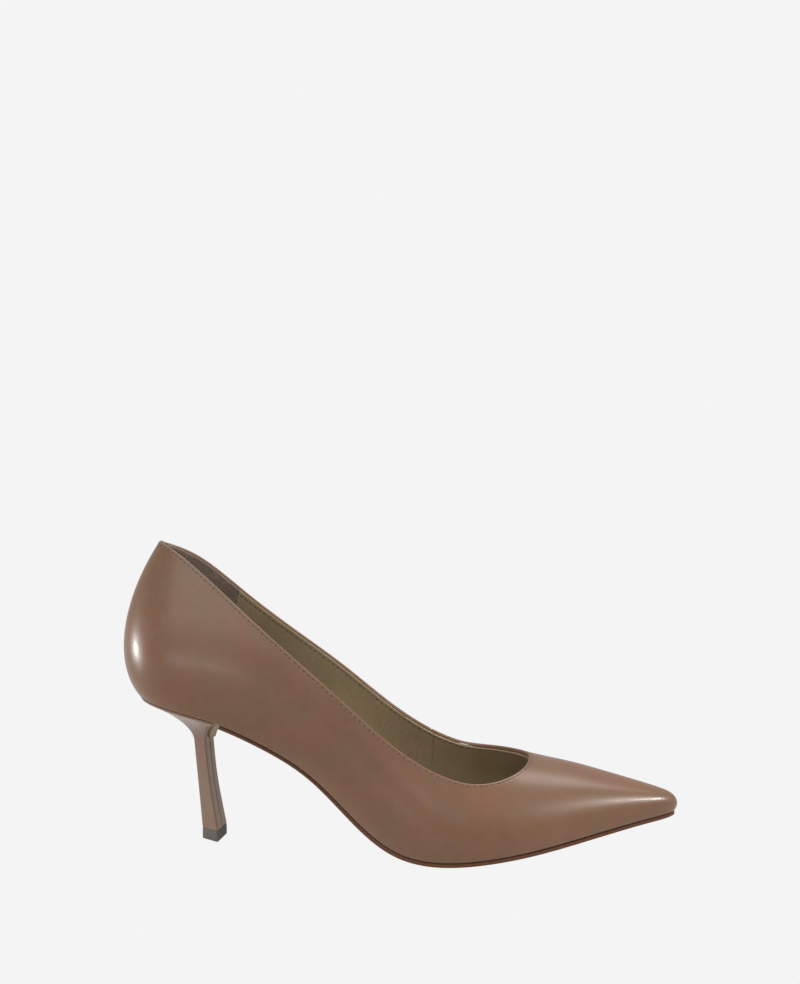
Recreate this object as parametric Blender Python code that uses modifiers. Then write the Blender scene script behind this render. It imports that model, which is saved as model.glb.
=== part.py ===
"""A pointed high heel pump for the right foot, built as an assembly of the pieces a shoemaker joins.

The shoe's long axis is X, with the toe at +X. +Y is its inner (medial) side and +Z is up.
Sections and outlines are written in millimetres in the shoe's drawing frame, whose origin is on the
floor under the middle of the heel tip. The root empty then moves the assembly so that the world
origin is at the bottom centre of its bounding box.
"""

import math

import bmesh
import bpy
import numpy as np
from mathutils import Matrix, Vector

MM = 0.001
CUTTERS = "cutters"
ROUND_SEGMENTS = 12

# Each station of the last: feather edge (x, half width), lower handle (x, half width, z),
# upper handle (x, half width, z) and crest (x, z). A section is the cubic Bezier of those four.
LAST_STATIONS = (
    ((-30.0, 0.0), (-43.6, 0.0, 81.0), (-37.6, 0.0, 117.0), (-7.5, 149.0)),
    ((-27.0, 12.8), (-39.4, 16.5, 81.5), (-32.2, 10.0, 117.5), (-4.5, 149.0)),
    ((-17.5, 21.8), (-26.0, 28.0, 81.5), (-15.0, 17.0, 116.5), (4.0, 147.0)),
    ((-3.0, 25.2), (-5.5, 32.0, 78.5), (4.0, 20.5, 112.0), (17.0, 141.5)),
    ((16.0, 24.6), (16.5, 32.0, 70.0), (23.0, 23.0, 102.5), (33.0, 132.0)),
    ((36.0, 22.8), (37.0, 31.5, 57.0), (42.0, 25.0, 89.5), (50.0, 118.0)),
    ((55.0, 23.6), (56.5, 32.5, 42.5), (60.0, 26.5, 75.0), (66.0, 101.5)),
    ((72.5, 28.6), (74.0, 36.0, 29.0), (76.5, 27.5, 61.0), (81.0, 84.0)),
    ((89.0, 34.2), (90.5, 40.0, 21.5), (92.5, 27.0, 49.5), (96.0, 66.0)),
    ((106.0, 37.2), (107.0, 42.0, 19.0), (108.5, 25.0, 42.0), (111.0, 51.0)),
    ((123.5, 36.0), (124.0, 40.5, 18.8), (125.0, 21.5, 38.5), (126.5, 41.5)),
    ((141.0, 30.8), (141.5, 35.0, 19.0), (142.0, 17.5, 35.4), (142.5, 35.6)),
    ((158.0, 23.8), (158.5, 27.4, 19.2), (159.0, 13.8, 31.6), (159.5, 31.9)),
    ((174.0, 16.8), (174.8, 19.8, 19.0), (175.0, 10.4, 27.3), (175.0, 27.6)),
    ((188.0, 10.6), (189.5, 13.0, 18.4), (188.5, 7.2, 23.4), (187.5, 23.9)),
    ((199.2, 5.4), (201.4, 6.8, 17.2), (198.6, 4.0, 20.7), (194.5, 21.6)),
    ((203.6, 0.0), (206.6, 0.0, 15.2), (204.0, 0.0, 19.4), (196.5, 21.0)),
)
LAST_STATION = len(LAST_STATIONS) - 1
GIRTH = 2 * LAST_STATION
SLOPE_STEP = 0.5

# The line of the foot plane in side view, and the sideways bend of the shoe's centre line.
FOOT_PLANE = (
    (-30.4, 66.4), (-17.0, 63.9), (-3.0, 60.4), (8.0, 57.0), (22.0, 50.6), (35.0, 43.3), (48.0, 34.0),
    (60.0, 22.8), (70.0, 13.8), (80.0, 7.3), (92.0, 3.8), (105.0, 3.1), (120.0, 3.6), (140.0, 4.9),
    (160.0, 7.0), (180.0, 9.3), (203.6, 11.5),
)
CENTRE_LINE = (
    (-50.0, 0.0), (0.0, 0.0), (45.0, -2.0), (80.0, -1.5), (105.0, 0.0), (125.0, 1.5), (150.0, 2.2),
    (210.0, 2.2),
)

# The topline as (station, share of the section's height), from the back to the start of the throat.
TOPLINE_LATERAL = (
    (0.0, 0.834), (1.4, 0.802), (2.7, 0.724), (4.1, 0.633), (5.8, 0.592), (7.5, 0.588), (9.1, 0.574),
)
TOPLINE_MEDIAL = (
    (0.0, 0.834), (1.2, 0.806), (2.3, 0.752), (3.7, 0.645), (4.5, 0.620), (5.8, 0.630), (7.6, 0.646),
    (9.1, 0.654),
)
THROAT_START = 9.1
THROAT_FRONT = 10.87
THROAT_POWER_LATERAL = 2.3
THROAT_POWER_MEDIAL = 1.6

# The layers of the upper, as depths below its outer face.
UPPER_THICKNESS = 1.0
STIFFENER_DEPTH = 1.3
STIFFENER_THICKNESS = 0.55
LINING_DEPTH = 2.1
LINING_THICKNESS = 0.6
GRIP_THICKNESS = 0.7

# The layers of the bottom, as heights above the feather edge.
LINING_MARGIN_HEIGHT = 1.25
SHANK_HEIGHT = 0.5
SHANK_THICKNESS = 1.1
SHANK_BOARD_HEIGHT = 2.15
SHANK_BOARD_THICKNESS = 1.0
INSOLE_HEIGHT = 3.45
INSOLE_THICKNESS = 1.4
SOCK_HEIGHT = 5.1
SOCK_THICKNESS = 0.8
HEEL_PAD_THICKNESS = 2.0
FOREFOOT_PAD_THICKNESS = 1.5
LAYER_GAP = 0.3
MARGIN_WIDTH = 9.0
INSOLE_INSET = 3.3
FILLER_INSET = 9.8

# First and last station of each plate, and first and last x of each strip.
INSOLE_STATIONS = (0.5, 15.0)
SHANK_BOARD_STATIONS = (0.5, 7.0)
FILLER_STATIONS = (7.5, 13.0)
SOCK_STATIONS = (0.5, 14.5)
PLATE_COLUMNS = 5
SOCK_COLUMNS = 7
SHANK_SPAN = (-14.0, 73.0)
SHANK_HALF_WIDTH = 5.0
SHANK_ROWS = 15
HEEL_PAD_SPAN = (-22.0, 27.0)
HEEL_PAD_HALF_WIDTH = 13.0
FOREFOOT_PAD_SPAN = (82.0, 130.0)
FOREFOOT_PAD_HALF_WIDTH = 18.0
PAD_ROWS = 9
STRIP_COLUMNS = 5
STRIP_END = 0.55

# Where the sock comes down in front of the heel pad, and where it goes up and down over the forefoot pad.
HEEL_PAD_SLOPE = (30.0, 48.0)
FOREFOOT_PAD_RISE = (68.0, 80.0)
FOREFOOT_PAD_FALL = (132.0, 146.0)

OUTSOLE_EDGE_FOREPART = 1.5
OUTSOLE_EDGE_WAIST = 1.2
OUTSOLE_CROWN = 2.2
OUTSOLE_INSET = 0.2
OUTSOLE_COLUMNS = 7
EDGE_GROWTH = (40.0, 80.0)
CROWN_RISE = (40.0, 95.0)
CROWN_FALL = (130.0, 195.0)
SOLE_REAR_STATION = 3.66
SOLE_NEXT_STATION = 4
TONGUE_WIDTH = 10.0
TONGUE_THICKNESS = 1.3
TONGUE_ROWS = 8
TONGUE_TAPER = 0.93
# The sole's tongue in side view (x, z): where it leaves the sole, its bend, and its end on the stem.
BREAST_TOP = (11.3, 55.0)
BREAST_BEND = (0.9, 55.0)
BREAST_FOOT = (0.15, 45.0)

# Where the pieces of the upper and of the lining meet, as places around the girth.
SIDE_SEAM = GIRTH - 8.3
LINING_SEAM_LATERAL = 8.4
LINING_SEAM_MEDIAL = GIRTH - 8.4
GRIP_SEAM = 3.3
SEAM_GAP = 0.02
BACK_SEAM_GAP = 0.05
WALL_ROWS = 7

LIFT_HEIGHT = 4.8
LIFT_EDGE = 0.3
HEEL_TURN = math.radians(-10)
STEM_CORNER = 0.9
# The stem as (z, centre x, depth, breast width, back width).
STEM_SECTIONS = (
    (5.1, 0.1, 8.8, 11.0, 3.9),
    (16.0, -1.2, 7.8, 10.1, 3.7),
    (28.0, -2.5, 6.9, 9.6, 3.9),
    (44.0, -3.7, 6.6, 9.8, 4.6),
)
FLARE_HEIGHT = 8.0
FLARE_SPREAD = 1.12
HEEL_RIM_STATION = 3.58
HEEL_RIM_HEIGHT = -1.0
HEEL_RIM_INSET = 0.6
HEEL_COVER_THICKNESS = 0.8
HEEL_BLOCK_INSET = 1.4
BLOCK_RIM_STATION = 2.95
BLOCK_RIM_INSET = 4.6

# Points on half a ring of the heel: across the breast, round each corner of the stem and along its side.
BREAST_POINTS = 5
CORNER_POINTS = 4
SIDE_POINTS = 4
HALF_RING = 2 + CORNER_POINTS + SIDE_POINTS + CORNER_POINTS + 1
STEM_RINGS = 6
FLARE_RINGS = 7

DOWEL_BOTTOM = Vector((0.0, 0.0, 5.6))
DOWEL_TOP = Vector((-3.6, 0.0, 47.0))
DOWEL_RADIUS = 1.6
DOWEL_BORE = 1.15
LIFT_PIN_RADIUS = 0.8
LIFT_PIN_LOW = 1.8
LIFT_PIN_HIGH = 17.0

FASTENER_HEIGHT = 4.75
HOLE_OVERRUN = 0.2
SCREW_X = -7.0
SCREW_LENGTH = 13.0
SCREW_RADIUS = 1.5
SCREW_ROOT = 1.1
SCREW_HEAD_RADIUS = 2.8
SCREW_HEAD_HEIGHT = 1.2
SCREW_PITCH = 1.5
NAIL_PLACES = ((-14.0, -7.0), (-14.0, 7.0), (-1.0, -9.0), (-1.0, 9.0))
NAIL_LENGTH = 9.0
NAIL_RADIUS = 0.8
NAIL_HEAD_RADIUS = 1.7
NAIL_HEAD_HEIGHT = 0.9
RIVET_RADIUS = 1.0
RIVET_HEAD_RADIUS = 2.1
RIVET_CROWN_RADIUS = 1.65
RIVET_PLAY = 0.13
RIVET_DOME = 0.7
RIVET_FOOT = 0.38
RIVET_SHOULDER = 0.86
RIVET_PLACES = (("shank_rivet_rear", 24.0), ("shank_rivet_front", 60.0))

LEATHER = (0.36, 0.20, 0.13)
LINING = (0.42, 0.35, 0.24)
SUEDE = (0.10, 0.08, 0.06)
BOARD = (0.45, 0.33, 0.20)
STEEL = (0.55, 0.55, 0.56)


def natural_spline(knots):
    """The smooth function through (place, value) knots, straight at both ends."""
    places, values = (np.array(column, float) for column in zip(*knots))
    count = len(places)
    steps = np.diff(places)
    matrix = np.eye(count)
    right = np.zeros(count)
    for i in range(1, count - 1):
        matrix[i, i - 1 : i + 2] = steps[i - 1], 2 * (steps[i - 1] + steps[i]), steps[i]
        right[i] = 6 * ((values[i + 1] - values[i]) / steps[i] - (values[i] - values[i - 1]) / steps[i - 1])
    bends = np.linalg.solve(matrix, right)

    def value(place):
        place = np.asarray(place, float)
        i = np.clip(np.searchsorted(places, place) - 1, 0, count - 2)
        step = steps[i]
        before = (places[i + 1] - place) / step
        after = (place - places[i]) / step
        bend = (before**3 - before) * bends[i] + (after**3 - after) * bends[i + 1]
        return before * values[i] + after * values[i + 1] + bend * step**2 / 6

    return value


def along_last(point, axis, sign):
    """The spline of one coordinate of the stations, continued round both ends: sign is -1 for widths."""
    row = [station[point][axis] for station in LAST_STATIONS]
    values = [sign * v for v in row[3:0:-1]] + row + [sign * v for v in row[-2:-5:-1]]
    return natural_spline([(i - 3, value) for i, value in enumerate(values)])


FEATHER_X = along_last(0, 0, 1)
FEATHER_WIDTH = along_last(0, 1, -1)
LOWER_HANDLE = [along_last(1, 0, 1), along_last(1, 1, -1), along_last(1, 2, 1)]
UPPER_HANDLE = [along_last(2, 0, 1), along_last(2, 1, -1), along_last(2, 2, 1)]
CREST_X = along_last(3, 0, 1)
CREST_Z = along_last(3, 1, 1)
foot_z = natural_spline(FOOT_PLANE)
centre_y = natural_spline(CENTRE_LINE)


def station_and_side(girth):
    """A place around the girth, from the back past the lateral side and the toe, as a station and a side."""
    girth = np.mod(np.asarray(girth, float), GIRTH)
    lateral = girth <= LAST_STATION
    return np.where(lateral, girth, GIRTH - girth), np.where(lateral, -1.0, 1.0)


def last_point(station, side, share):
    """The outer face of the upper: share is 0 on the feather edge and 1 on the crest."""
    share = np.asarray(share, float)
    x = FEATHER_X(station)
    points = (
        (x, FEATHER_WIDTH(station), foot_z(x)),
        [f(station) for f in LOWER_HANDLE],
        [f(station) for f in UPPER_HANDLE],
        (CREST_X(station), 0 * x, CREST_Z(station)),
    )
    weights = ((1 - share) ** 3, 3 * share * (1 - share) ** 2, 3 * share**2 * (1 - share), share**3)
    x, width, z = (sum(w * p[axis] for w, p in zip(weights, points)) for axis in range(3))
    return np.stack([x, centre_y(x) + side * width, z], axis=-1)


def layer_point(girth, share, depth):
    """The point that lies a depth inside the outer face, along its normal."""
    station, side = station_and_side(girth)
    step = 0.02
    inner = np.clip(share, step, 1 - step)
    along = last_point(station + step, side, inner) - last_point(station - step, side, inner)
    up = last_point(station, side, inner + step) - last_point(station, side, inner - step)
    normal = np.cross(along, up) * -np.asarray(side)[..., None]
    normal /= np.linalg.norm(normal, axis=-1, keepdims=True)
    return last_point(station, side, share) - normal * depth


def topline_share(girth):
    """The share of the section's height at which the topline crosses it; 1 on the closed vamp."""
    station, side = station_and_side(girth)
    sides = []
    for knots, power in ((TOPLINE_LATERAL, THROAT_POWER_LATERAL), (TOPLINE_MEDIAL, THROAT_POWER_MEDIAL)):
        run = np.clip((station - THROAT_START) / (THROAT_FRONT - THROAT_START), 0, 1)
        throat = 1 - (1 - knots[-1][1]) * (1 - run**power) ** (1 / power)
        sides.append(np.where(station < THROAT_START, natural_spline(knots)(station), throat))
    return np.where(side < 0, sides[0], sides[1])


def foot_normal(x):
    """The upward normal of the foot plane in side view."""
    slope = (foot_z(x + SLOPE_STEP) - foot_z(x - SLOPE_STEP)) / (2 * SLOPE_STEP)
    length = np.sqrt(1 + slope**2)
    return -slope / length, 1 / length


def foot_point(x, y, height):
    """The point a height above the foot plane, along its normal."""
    x = np.asarray(x, float)
    normal_x, normal_z = foot_normal(x)
    return np.stack([x + normal_x * height, y + 0 * x, foot_z(x) + normal_z * height], axis=-1)


def feather_inset(station, inset):
    """The x and half width of the feather line moved inwards by an inset."""
    station = np.asarray(station, float)
    step = 0.05
    along_x = FEATHER_X(station + step) - FEATHER_X(station - step)
    along_w = FEATHER_WIDTH(station + step) - FEATHER_WIDTH(station - step)
    length = np.hypot(along_x, along_w)
    width = FEATHER_WIDTH(station)
    inner = np.maximum(width - inset * abs(along_x) / length, 0.35 * width)
    return FEATHER_X(station) + inset * along_w / length, inner


def new_material(name, color, roughness, metallic=0.0):
    material = bpy.data.materials.new(name)
    material.use_nodes = True
    shader = material.node_tree.nodes["Principled BSDF"]
    shader.inputs["Base Color"].default_value = (*color, 1.0)
    shader.inputs["Roughness"].default_value = roughness
    shader.inputs["Metallic"].default_value = metallic
    return material


def clear_scene():
    for obj in list(bpy.data.objects):
        bpy.data.objects.remove(obj, do_unlink=True)


def new_collection(name):
    collection = bpy.data.collections.new(name)
    bpy.context.scene.collection.children.link(collection)
    return collection


def add_object(name, mesh, material, collection):
    obj = bpy.data.objects.new(name, mesh)
    obj.data.materials.append(material)
    collection.objects.link(obj)
    mesh.shade_smooth()
    mesh.set_sharp_from_angle(angle=math.radians(35))
    return obj


def grid_mesh(name, grid):
    """The open surface through a grid of points, with coincident points joined."""
    rows, columns = grid.shape[:2]
    faces = [
        (r * columns + c, (r + 1) * columns + c, (r + 1) * columns + c + 1, r * columns + c + 1)
        for r in range(rows - 1)
        for c in range(columns - 1)
    ]
    mesh = bpy.data.meshes.new(name)
    mesh.from_pydata((grid.reshape(-1, 3) * MM).tolist(), [], faces)
    tidy_mesh(mesh)
    return mesh


def tidy_mesh(mesh, closed=False):
    """Joins coincident points and, on a closed mesh, turns every face outwards."""
    bm = bmesh.new()
    bm.from_mesh(mesh)
    bmesh.ops.remove_doubles(bm, verts=bm.verts, dist=1e-6)
    bmesh.ops.dissolve_degenerate(bm, edges=bm.edges, dist=1e-6)
    if closed:
        bmesh.ops.recalc_face_normals(bm, faces=bm.faces)
    bm.to_mesh(mesh)
    bm.free()


def add_solidify(obj, thickness, even=True):
    """Gives a sheet its thickness, behind the face that its normals point away from."""
    modifier = obj.modifiers.new("thickness", "SOLIDIFY")
    modifier.thickness = thickness * MM
    modifier.offset = -1
    modifier.use_even_offset = even


def add_cut(obj, cutter, operation="DIFFERENCE"):
    modifier = obj.modifiers.new(cutter.name, "BOOLEAN")
    modifier.operation = operation
    modifier.solver = "EXACT"
    modifier.object = cutter


def girth_places(start, end):
    """The places around the girth at which the layers have a column, closer together at the throat."""
    throat = [THROAT_FRONT - gap for gap in (0.7, 0.32, 0.12, 0.03, 0.0)]
    half = [i / 2 for i in range(GIRTH + 1) if not 10.1 < i / 2 < 10.9] + throat
    places = sorted(half + [GIRTH - place for place in half])
    places += [place + GIRTH for place in places]
    return [start] + [place for place in places if start + 0.1 < place < end - 0.1] + [end]


def wall_grid(start, end, low, high, depth, rows, margin_height=None):
    """Columns of points up the wall between two shares of the topline, with the lasting margin first."""
    grid = []
    for girth in girth_places(start, end):
        top = float(topline_share(girth))
        shares = np.linspace(low, high, rows) * top
        column = layer_point(np.full(rows, girth), shares, depth)
        if margin_height is not None:
            station, side = station_and_side(girth)
            margin = []
            for inset in (MARGIN_WIDTH, depth):
                x, width = feather_inset(station, inset)
                margin.append(foot_point(x, centre_y(x) + side * width, margin_height))
            column = np.vstack([margin, column[1:]])
        grid.append(column)
    return np.array(grid)


def make_layer(name, material, collection, grid, thickness):
    obj = add_object(name, grid_mesh(name, grid), material, collection)
    add_solidify(obj, thickness)
    return obj


def make_uppers(collection):
    leather = new_material("nude leather", LEATHER, 0.32)
    for name, first, last in (
        ("upper_vamp_lateral", BACK_SEAM_GAP, SIDE_SEAM - SEAM_GAP),
        ("upper_medial_quarter", SIDE_SEAM + SEAM_GAP, GIRTH - BACK_SEAM_GAP),
    ):
        grid = wall_grid(first, last, 0, 1, 0, WALL_ROWS, margin_height=0)
        make_layer(name, leather, collection, grid, UPPER_THICKNESS)


def make_linings(collection):
    smooth = new_material("beige lining", LINING, 0.45)
    suede = new_material("suede heel grip", SUEDE, 0.95)
    grip_end = GIRTH + GRIP_SEAM
    grip_start = GIRTH - GRIP_SEAM
    spans = (
        ("vamp_lining", LINING_SEAM_LATERAL, LINING_SEAM_MEDIAL, smooth, LINING_THICKNESS),
        ("quarter_lining_lateral", GRIP_SEAM, LINING_SEAM_LATERAL, smooth, LINING_THICKNESS),
        ("quarter_lining_medial", LINING_SEAM_MEDIAL, grip_start, smooth, LINING_THICKNESS),
        ("heel_grip", grip_start, grip_end, suede, GRIP_THICKNESS),
    )
    for name, first, last, material, thickness in spans:
        first, last = first + SEAM_GAP, last - SEAM_GAP
        grid = wall_grid(first, last, 0, 1, LINING_DEPTH, WALL_ROWS, LINING_MARGIN_HEIGHT)
        make_layer(name, material, collection, grid, thickness)


def make_stiffeners(collection):
    fibre = new_material("stiffener board", BOARD, 0.8)
    tape = new_material("topline tape", (0.75, 0.72, 0.66), 0.9)
    spans = (
        ("heel_counter", GIRTH - 4.5, GIRTH + 4.5, 1 / 6, 5 / 6, fibre, 5),
        ("toe_puff", 12.5, GIRTH - 12.5, 1 / 3, 1.0, fibre, 5),
        ("topline_tape", GIRTH - 9.5, GIRTH + 9.5, 0.875, 0.985, tape, 2),
    )
    for name, first, last, low, high, material, rows in spans:
        grid = wall_grid(first, last, low, high, STIFFENER_DEPTH, rows)
        make_layer(name, material, collection, grid, STIFFENER_THICKNESS)


def plate_grid(stations, inset, height, columns, ease=None):
    """Rows of points across the shoe, an inset inside the feather edge and a height above the foot plane."""
    grid = []
    for station in stations:
        x, width = feather_inset(station, inset)
        lift = height if ease is None else height + ease(float(x))
        y = centre_y(x) + np.linspace(-1, 1, columns) * width
        grid.append(foot_point(np.full(columns, x), y, lift))
    return np.array(grid)[:, ::-1]


def strip_grid(span, half_width, height, rows):
    """Rows of points along the middle of the shoe, with rounded ends."""
    first_x, last_x = span
    grid = []
    for x in np.linspace(first_x, last_x, rows):
        from_end = min(x - first_x, last_x - x) / half_width
        width = half_width * (STRIP_END + (1 - STRIP_END) * math.sqrt(1 - max(0, 1 - from_end) ** 2))
        y = centre_y(x) + np.linspace(-1, 1, STRIP_COLUMNS) * width
        grid.append(foot_point(np.full(STRIP_COLUMNS, x), y, height))
    return np.array(grid)[:, ::-1]


def smooth_step(value, start, end):
    share = min(max((value - start) / (end - start), 0.0), 1.0)
    return share * share * (3 - 2 * share)


def pad_lift(x):
    """How far the two foam pads raise the sock lining at x."""
    heel = HEEL_PAD_THICKNESS + LAYER_GAP
    forefoot = FOREFOOT_PAD_THICKNESS + LAYER_GAP
    heel *= 1 - smooth_step(x, *HEEL_PAD_SLOPE)
    forefoot *= smooth_step(x, *FOREFOOT_PAD_RISE) - smooth_step(x, *FOREFOOT_PAD_FALL)
    return heel + forefoot


def lay_up(name, material, collection, grid, thickness):
    """A plate whose grid is its lower face."""
    obj = add_object(name, grid_mesh(name, grid), material, collection)
    add_solidify(obj, thickness)
    return obj


def half_stations(first, last):
    return np.arange(first, last + 0.25, 0.5)


def make_bottom_boards(collection):
    fibre = new_material("insole board", BOARD, 0.8)
    cork = new_material("cork filler", (0.35, 0.22, 0.12), 0.95)
    grid = plate_grid(half_stations(*INSOLE_STATIONS), INSOLE_INSET, INSOLE_HEIGHT, PLATE_COLUMNS)
    insole = lay_up("insole_board", fibre, collection, grid, INSOLE_THICKNESS)
    stations = half_stations(*SHANK_BOARD_STATIONS)
    grid = plate_grid(stations, INSOLE_INSET, SHANK_BOARD_HEIGHT, PLATE_COLUMNS)
    shank_board = lay_up("shank_board", fibre, collection, grid, SHANK_BOARD_THICKNESS)
    grid = plate_grid(half_stations(*FILLER_STATIONS), FILLER_INSET, LAYER_GAP, PLATE_COLUMNS)
    lay_up("bottom_filler", cork, collection, grid, SHANK_BOARD_HEIGHT - 2 * LAYER_GAP)
    return insole, shank_board


def make_shank(collection):
    steel = new_material("spring steel", STEEL, 0.35, 1.0)
    grid = strip_grid(SHANK_SPAN, SHANK_HALF_WIDTH, SHANK_HEIGHT, SHANK_ROWS)
    return lay_up("steel_shank", steel, collection, grid, SHANK_THICKNESS)


def make_insole_padding(collection):
    foam = new_material("latex foam", (0.75, 0.70, 0.58), 0.95)
    lining = new_material("sock lining leather", LINING, 0.5)
    grid = strip_grid(HEEL_PAD_SPAN, HEEL_PAD_HALF_WIDTH, SOCK_HEIGHT, PAD_ROWS)
    lay_up("heel_pad", foam, collection, grid, HEEL_PAD_THICKNESS)
    grid = strip_grid(FOREFOOT_PAD_SPAN, FOREFOOT_PAD_HALF_WIDTH, SOCK_HEIGHT, PAD_ROWS)
    lay_up("forefoot_pad", foam, collection, grid, FOREFOOT_PAD_THICKNESS)
    stations = half_stations(*SOCK_STATIONS)
    grid = plate_grid(stations, INSOLE_INSET - LAYER_GAP, SOCK_HEIGHT, SOCK_COLUMNS, pad_lift)
    lay_up("sock_lining", lining, collection, grid, SOCK_THICKNESS)


def ring_mesh(name, rings, capped):
    """The surface through closed rings of points, which run clockwise seen from above, from the lowest up."""
    count = len(rings[0])
    faces = []
    for r in range(len(rings) - 1):
        low, high = r * count, (r + 1) * count
        for c in range(count):
            d = (c + 1) % count
            faces.append((low + d, low + c, high + c, high + d))
    if capped:
        faces += cap_faces(0, count) + cap_faces((len(rings) - 1) * count, count)
    mesh = bpy.data.meshes.new(name)
    mesh.from_pydata((np.vstack(rings) * MM).tolist(), [], faces)
    tidy_mesh(mesh, closed=capped)
    return mesh


def cap_faces(first, count):
    """Faces that close a ring of the heel: the flat breast first, then a strip between its two sides."""
    half = count // 2
    lateral = [first + i for i in range(half + 1)]
    medial = [first + (count - i) % count for i in range(half + 1)]
    faces = [tuple(lateral[: BREAST_POINTS + 1] + medial[BREAST_POINTS:0:-1])]
    for i in range(BREAST_POINTS, half - 1):
        faces.append((lateral[i], lateral[i + 1], medial[i + 1], medial[i]))
    faces.append((lateral[half - 1], lateral[half], medial[half - 1]))
    return faces


def sole_ring(station):
    """The outsole's section across the shoe: flat on top, crowned below and flat where it meets the floor."""
    x, width = feather_inset(station, OUTSOLE_INSET)
    side_x = float(x)
    growth = smooth_step(side_x, *EDGE_GROWTH)
    edge = OUTSOLE_EDGE_WAIST + (OUTSOLE_EDGE_FOREPART - OUTSOLE_EDGE_WAIST) * growth
    crown = OUTSOLE_CROWN * smooth_step(side_x, *CROWN_RISE) * (1 - smooth_step(side_x, *CROWN_FALL))
    across = np.linspace(-1, 1, OUTSOLE_COLUMNS)
    y = centre_y(x) + across * width
    x = np.full(OUTSOLE_COLUMNS, x)
    top = foot_point(x, y, -LAYER_GAP)
    low = foot_point(x, y, -LAYER_GAP - edge - crown * (1 - across**2))
    low[:, 2] = np.maximum(low[:, 2], 0.0)
    return np.vstack([top, low[::-1]])


def breast_point(share, y, height):
    """A point a height off the heel's breast: share is 0 under the sole and 1 at the top of the stem."""
    back = 1 - share
    x = back**2 * BREAST_TOP[0] + 2 * back * share * BREAST_BEND[0] + share**2 * BREAST_FOOT[0]
    z = back**2 * BREAST_TOP[1] + 2 * back * share * BREAST_BEND[1] + share**2 * BREAST_FOOT[1]
    slope_x = back * (BREAST_BEND[0] - BREAST_TOP[0]) + share * (BREAST_FOOT[0] - BREAST_BEND[0])
    slope_z = back * (BREAST_BEND[1] - BREAST_TOP[1]) + share * (BREAST_FOOT[1] - BREAST_BEND[1])
    length = math.hypot(slope_x, slope_z)
    turn = math.tan(HEEL_TURN) * y * share
    return x - slope_z / length * height - turn, y, z + slope_x / length * height


def make_tongue(cutters):
    """The end of the sole, turned down over the heel's breast."""
    grid = []
    for share in np.linspace(0, 1, TONGUE_ROWS):
        half = TONGUE_WIDTH / 2 * math.sqrt(1 - (TONGUE_TAPER * share) ** 4)
        grid.append([breast_point(share, y, LAYER_GAP) for y in np.linspace(half, -half, 5)])
    tongue = bpy.data.objects.new("sole_tongue", grid_mesh("sole_tongue", np.array(grid)))
    cutters.objects.link(tongue)
    add_solidify(tongue, TONGUE_THICKNESS)
    hide_cutter(tongue)
    return tongue


def hide_cutter(obj):
    obj.hide_render = True
    obj.display_type = "WIRE"


def make_outsole(collection, cutters):
    rubber = new_material("outsole", (0.33, 0.13, 0.05), 0.5)
    stations = np.concatenate([[SOLE_REAR_STATION], half_stations(SOLE_NEXT_STATION, LAST_STATION)])
    rings = [sole_ring(station) for station in stations]
    count = len(rings[0])
    faces = [(i, i + 1, count - 2 - i, count - 1 - i) for i in range(OUTSOLE_COLUMNS - 1)]
    for r in range(len(rings) - 1):
        for c in range(count):
            d = (c + 1) % count
            faces.append((r * count + d, r * count + c, (r + 1) * count + c, (r + 1) * count + d))
    mesh = bpy.data.meshes.new("outsole")
    mesh.from_pydata((np.vstack(rings) * MM).tolist(), [], faces)
    tidy_mesh(mesh, closed=True)
    outsole = add_object("outsole", mesh, rubber, collection)
    add_cut(outsole, make_tongue(cutters), "UNION")


def rounded_corner(before, corner, after, size):
    """Points round a corner of an outline, on a curve that starts and ends a size away from it."""
    before, corner, after = (np.array(p, float) for p in (before, corner, after))
    start = corner + (before - corner) / np.linalg.norm(before - corner) * size
    end = corner + (after - corner) / np.linalg.norm(after - corner) * size
    shares = np.linspace(0, 1, CORNER_POINTS)[:, None]
    return (1 - shares) ** 2 * start + 2 * shares * (1 - shares) * corner + shares**2 * end


def stem_outline(depth, breast, back, inset):
    """Half the stem's section, from the middle of the breast to the middle of the back."""
    front = depth / 2 - inset
    breast_corner = (front, breast / 2 - inset)
    back_corner = (-front, back / 2 - inset * 0.8)
    size = STEM_CORNER - inset / 3
    first = rounded_corner((front, 0), breast_corner, back_corner, size)
    second = rounded_corner(breast_corner, back_corner, (-front, 0), size)
    shares = np.linspace(0, 1, SIDE_POINTS + 2)[1:-1, None]
    side = first[-1] * (1 - shares) + second[0] * shares
    return np.vstack([(front, 0), (front, breast_corner[1] / 2), first, side, second, (-front, 0)])


def rim_outline(station, inset):
    """Half the heel's rim under the seat, which matches stem_outline point for point."""
    corner_x, corner_width = feather_inset(station, inset)
    points = [(corner_x, corner_width * share) for share in np.linspace(0, 1, BREAST_POINTS)]
    rest = HALF_RING - BREAST_POINTS
    for i in range(1, rest + 1):
        points.append(feather_inset(station * (1 - i / rest), inset))
    return np.array(points)


def full_ring(half, place):
    """Both halves of a ring: place turns (x, half width, side) into a point."""
    lateral = [place(x, width, -1) for x, width in half]
    medial = [place(x, width, 1) for x, width in half[-2:0:-1]]
    return np.array(lateral + medial)


def stem_ring(z, inset, spread=1.0):
    """The stem's section at a height, turned with the heel."""
    heights, *columns = zip(*STEM_SECTIONS)
    splines = [natural_spline(list(zip(heights, column))) for column in columns]
    centre, depth, breast, back = (float(spline(z)) for spline in splines)
    turn_cos, turn_sin = math.cos(HEEL_TURN), math.sin(HEEL_TURN)

    def place(x, width, side):
        y = side * width
        return centre + x * turn_cos - y * turn_sin, x * turn_sin + y * turn_cos, z

    return full_ring(stem_outline(depth * spread, breast * spread, back * spread, inset), place)


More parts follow.
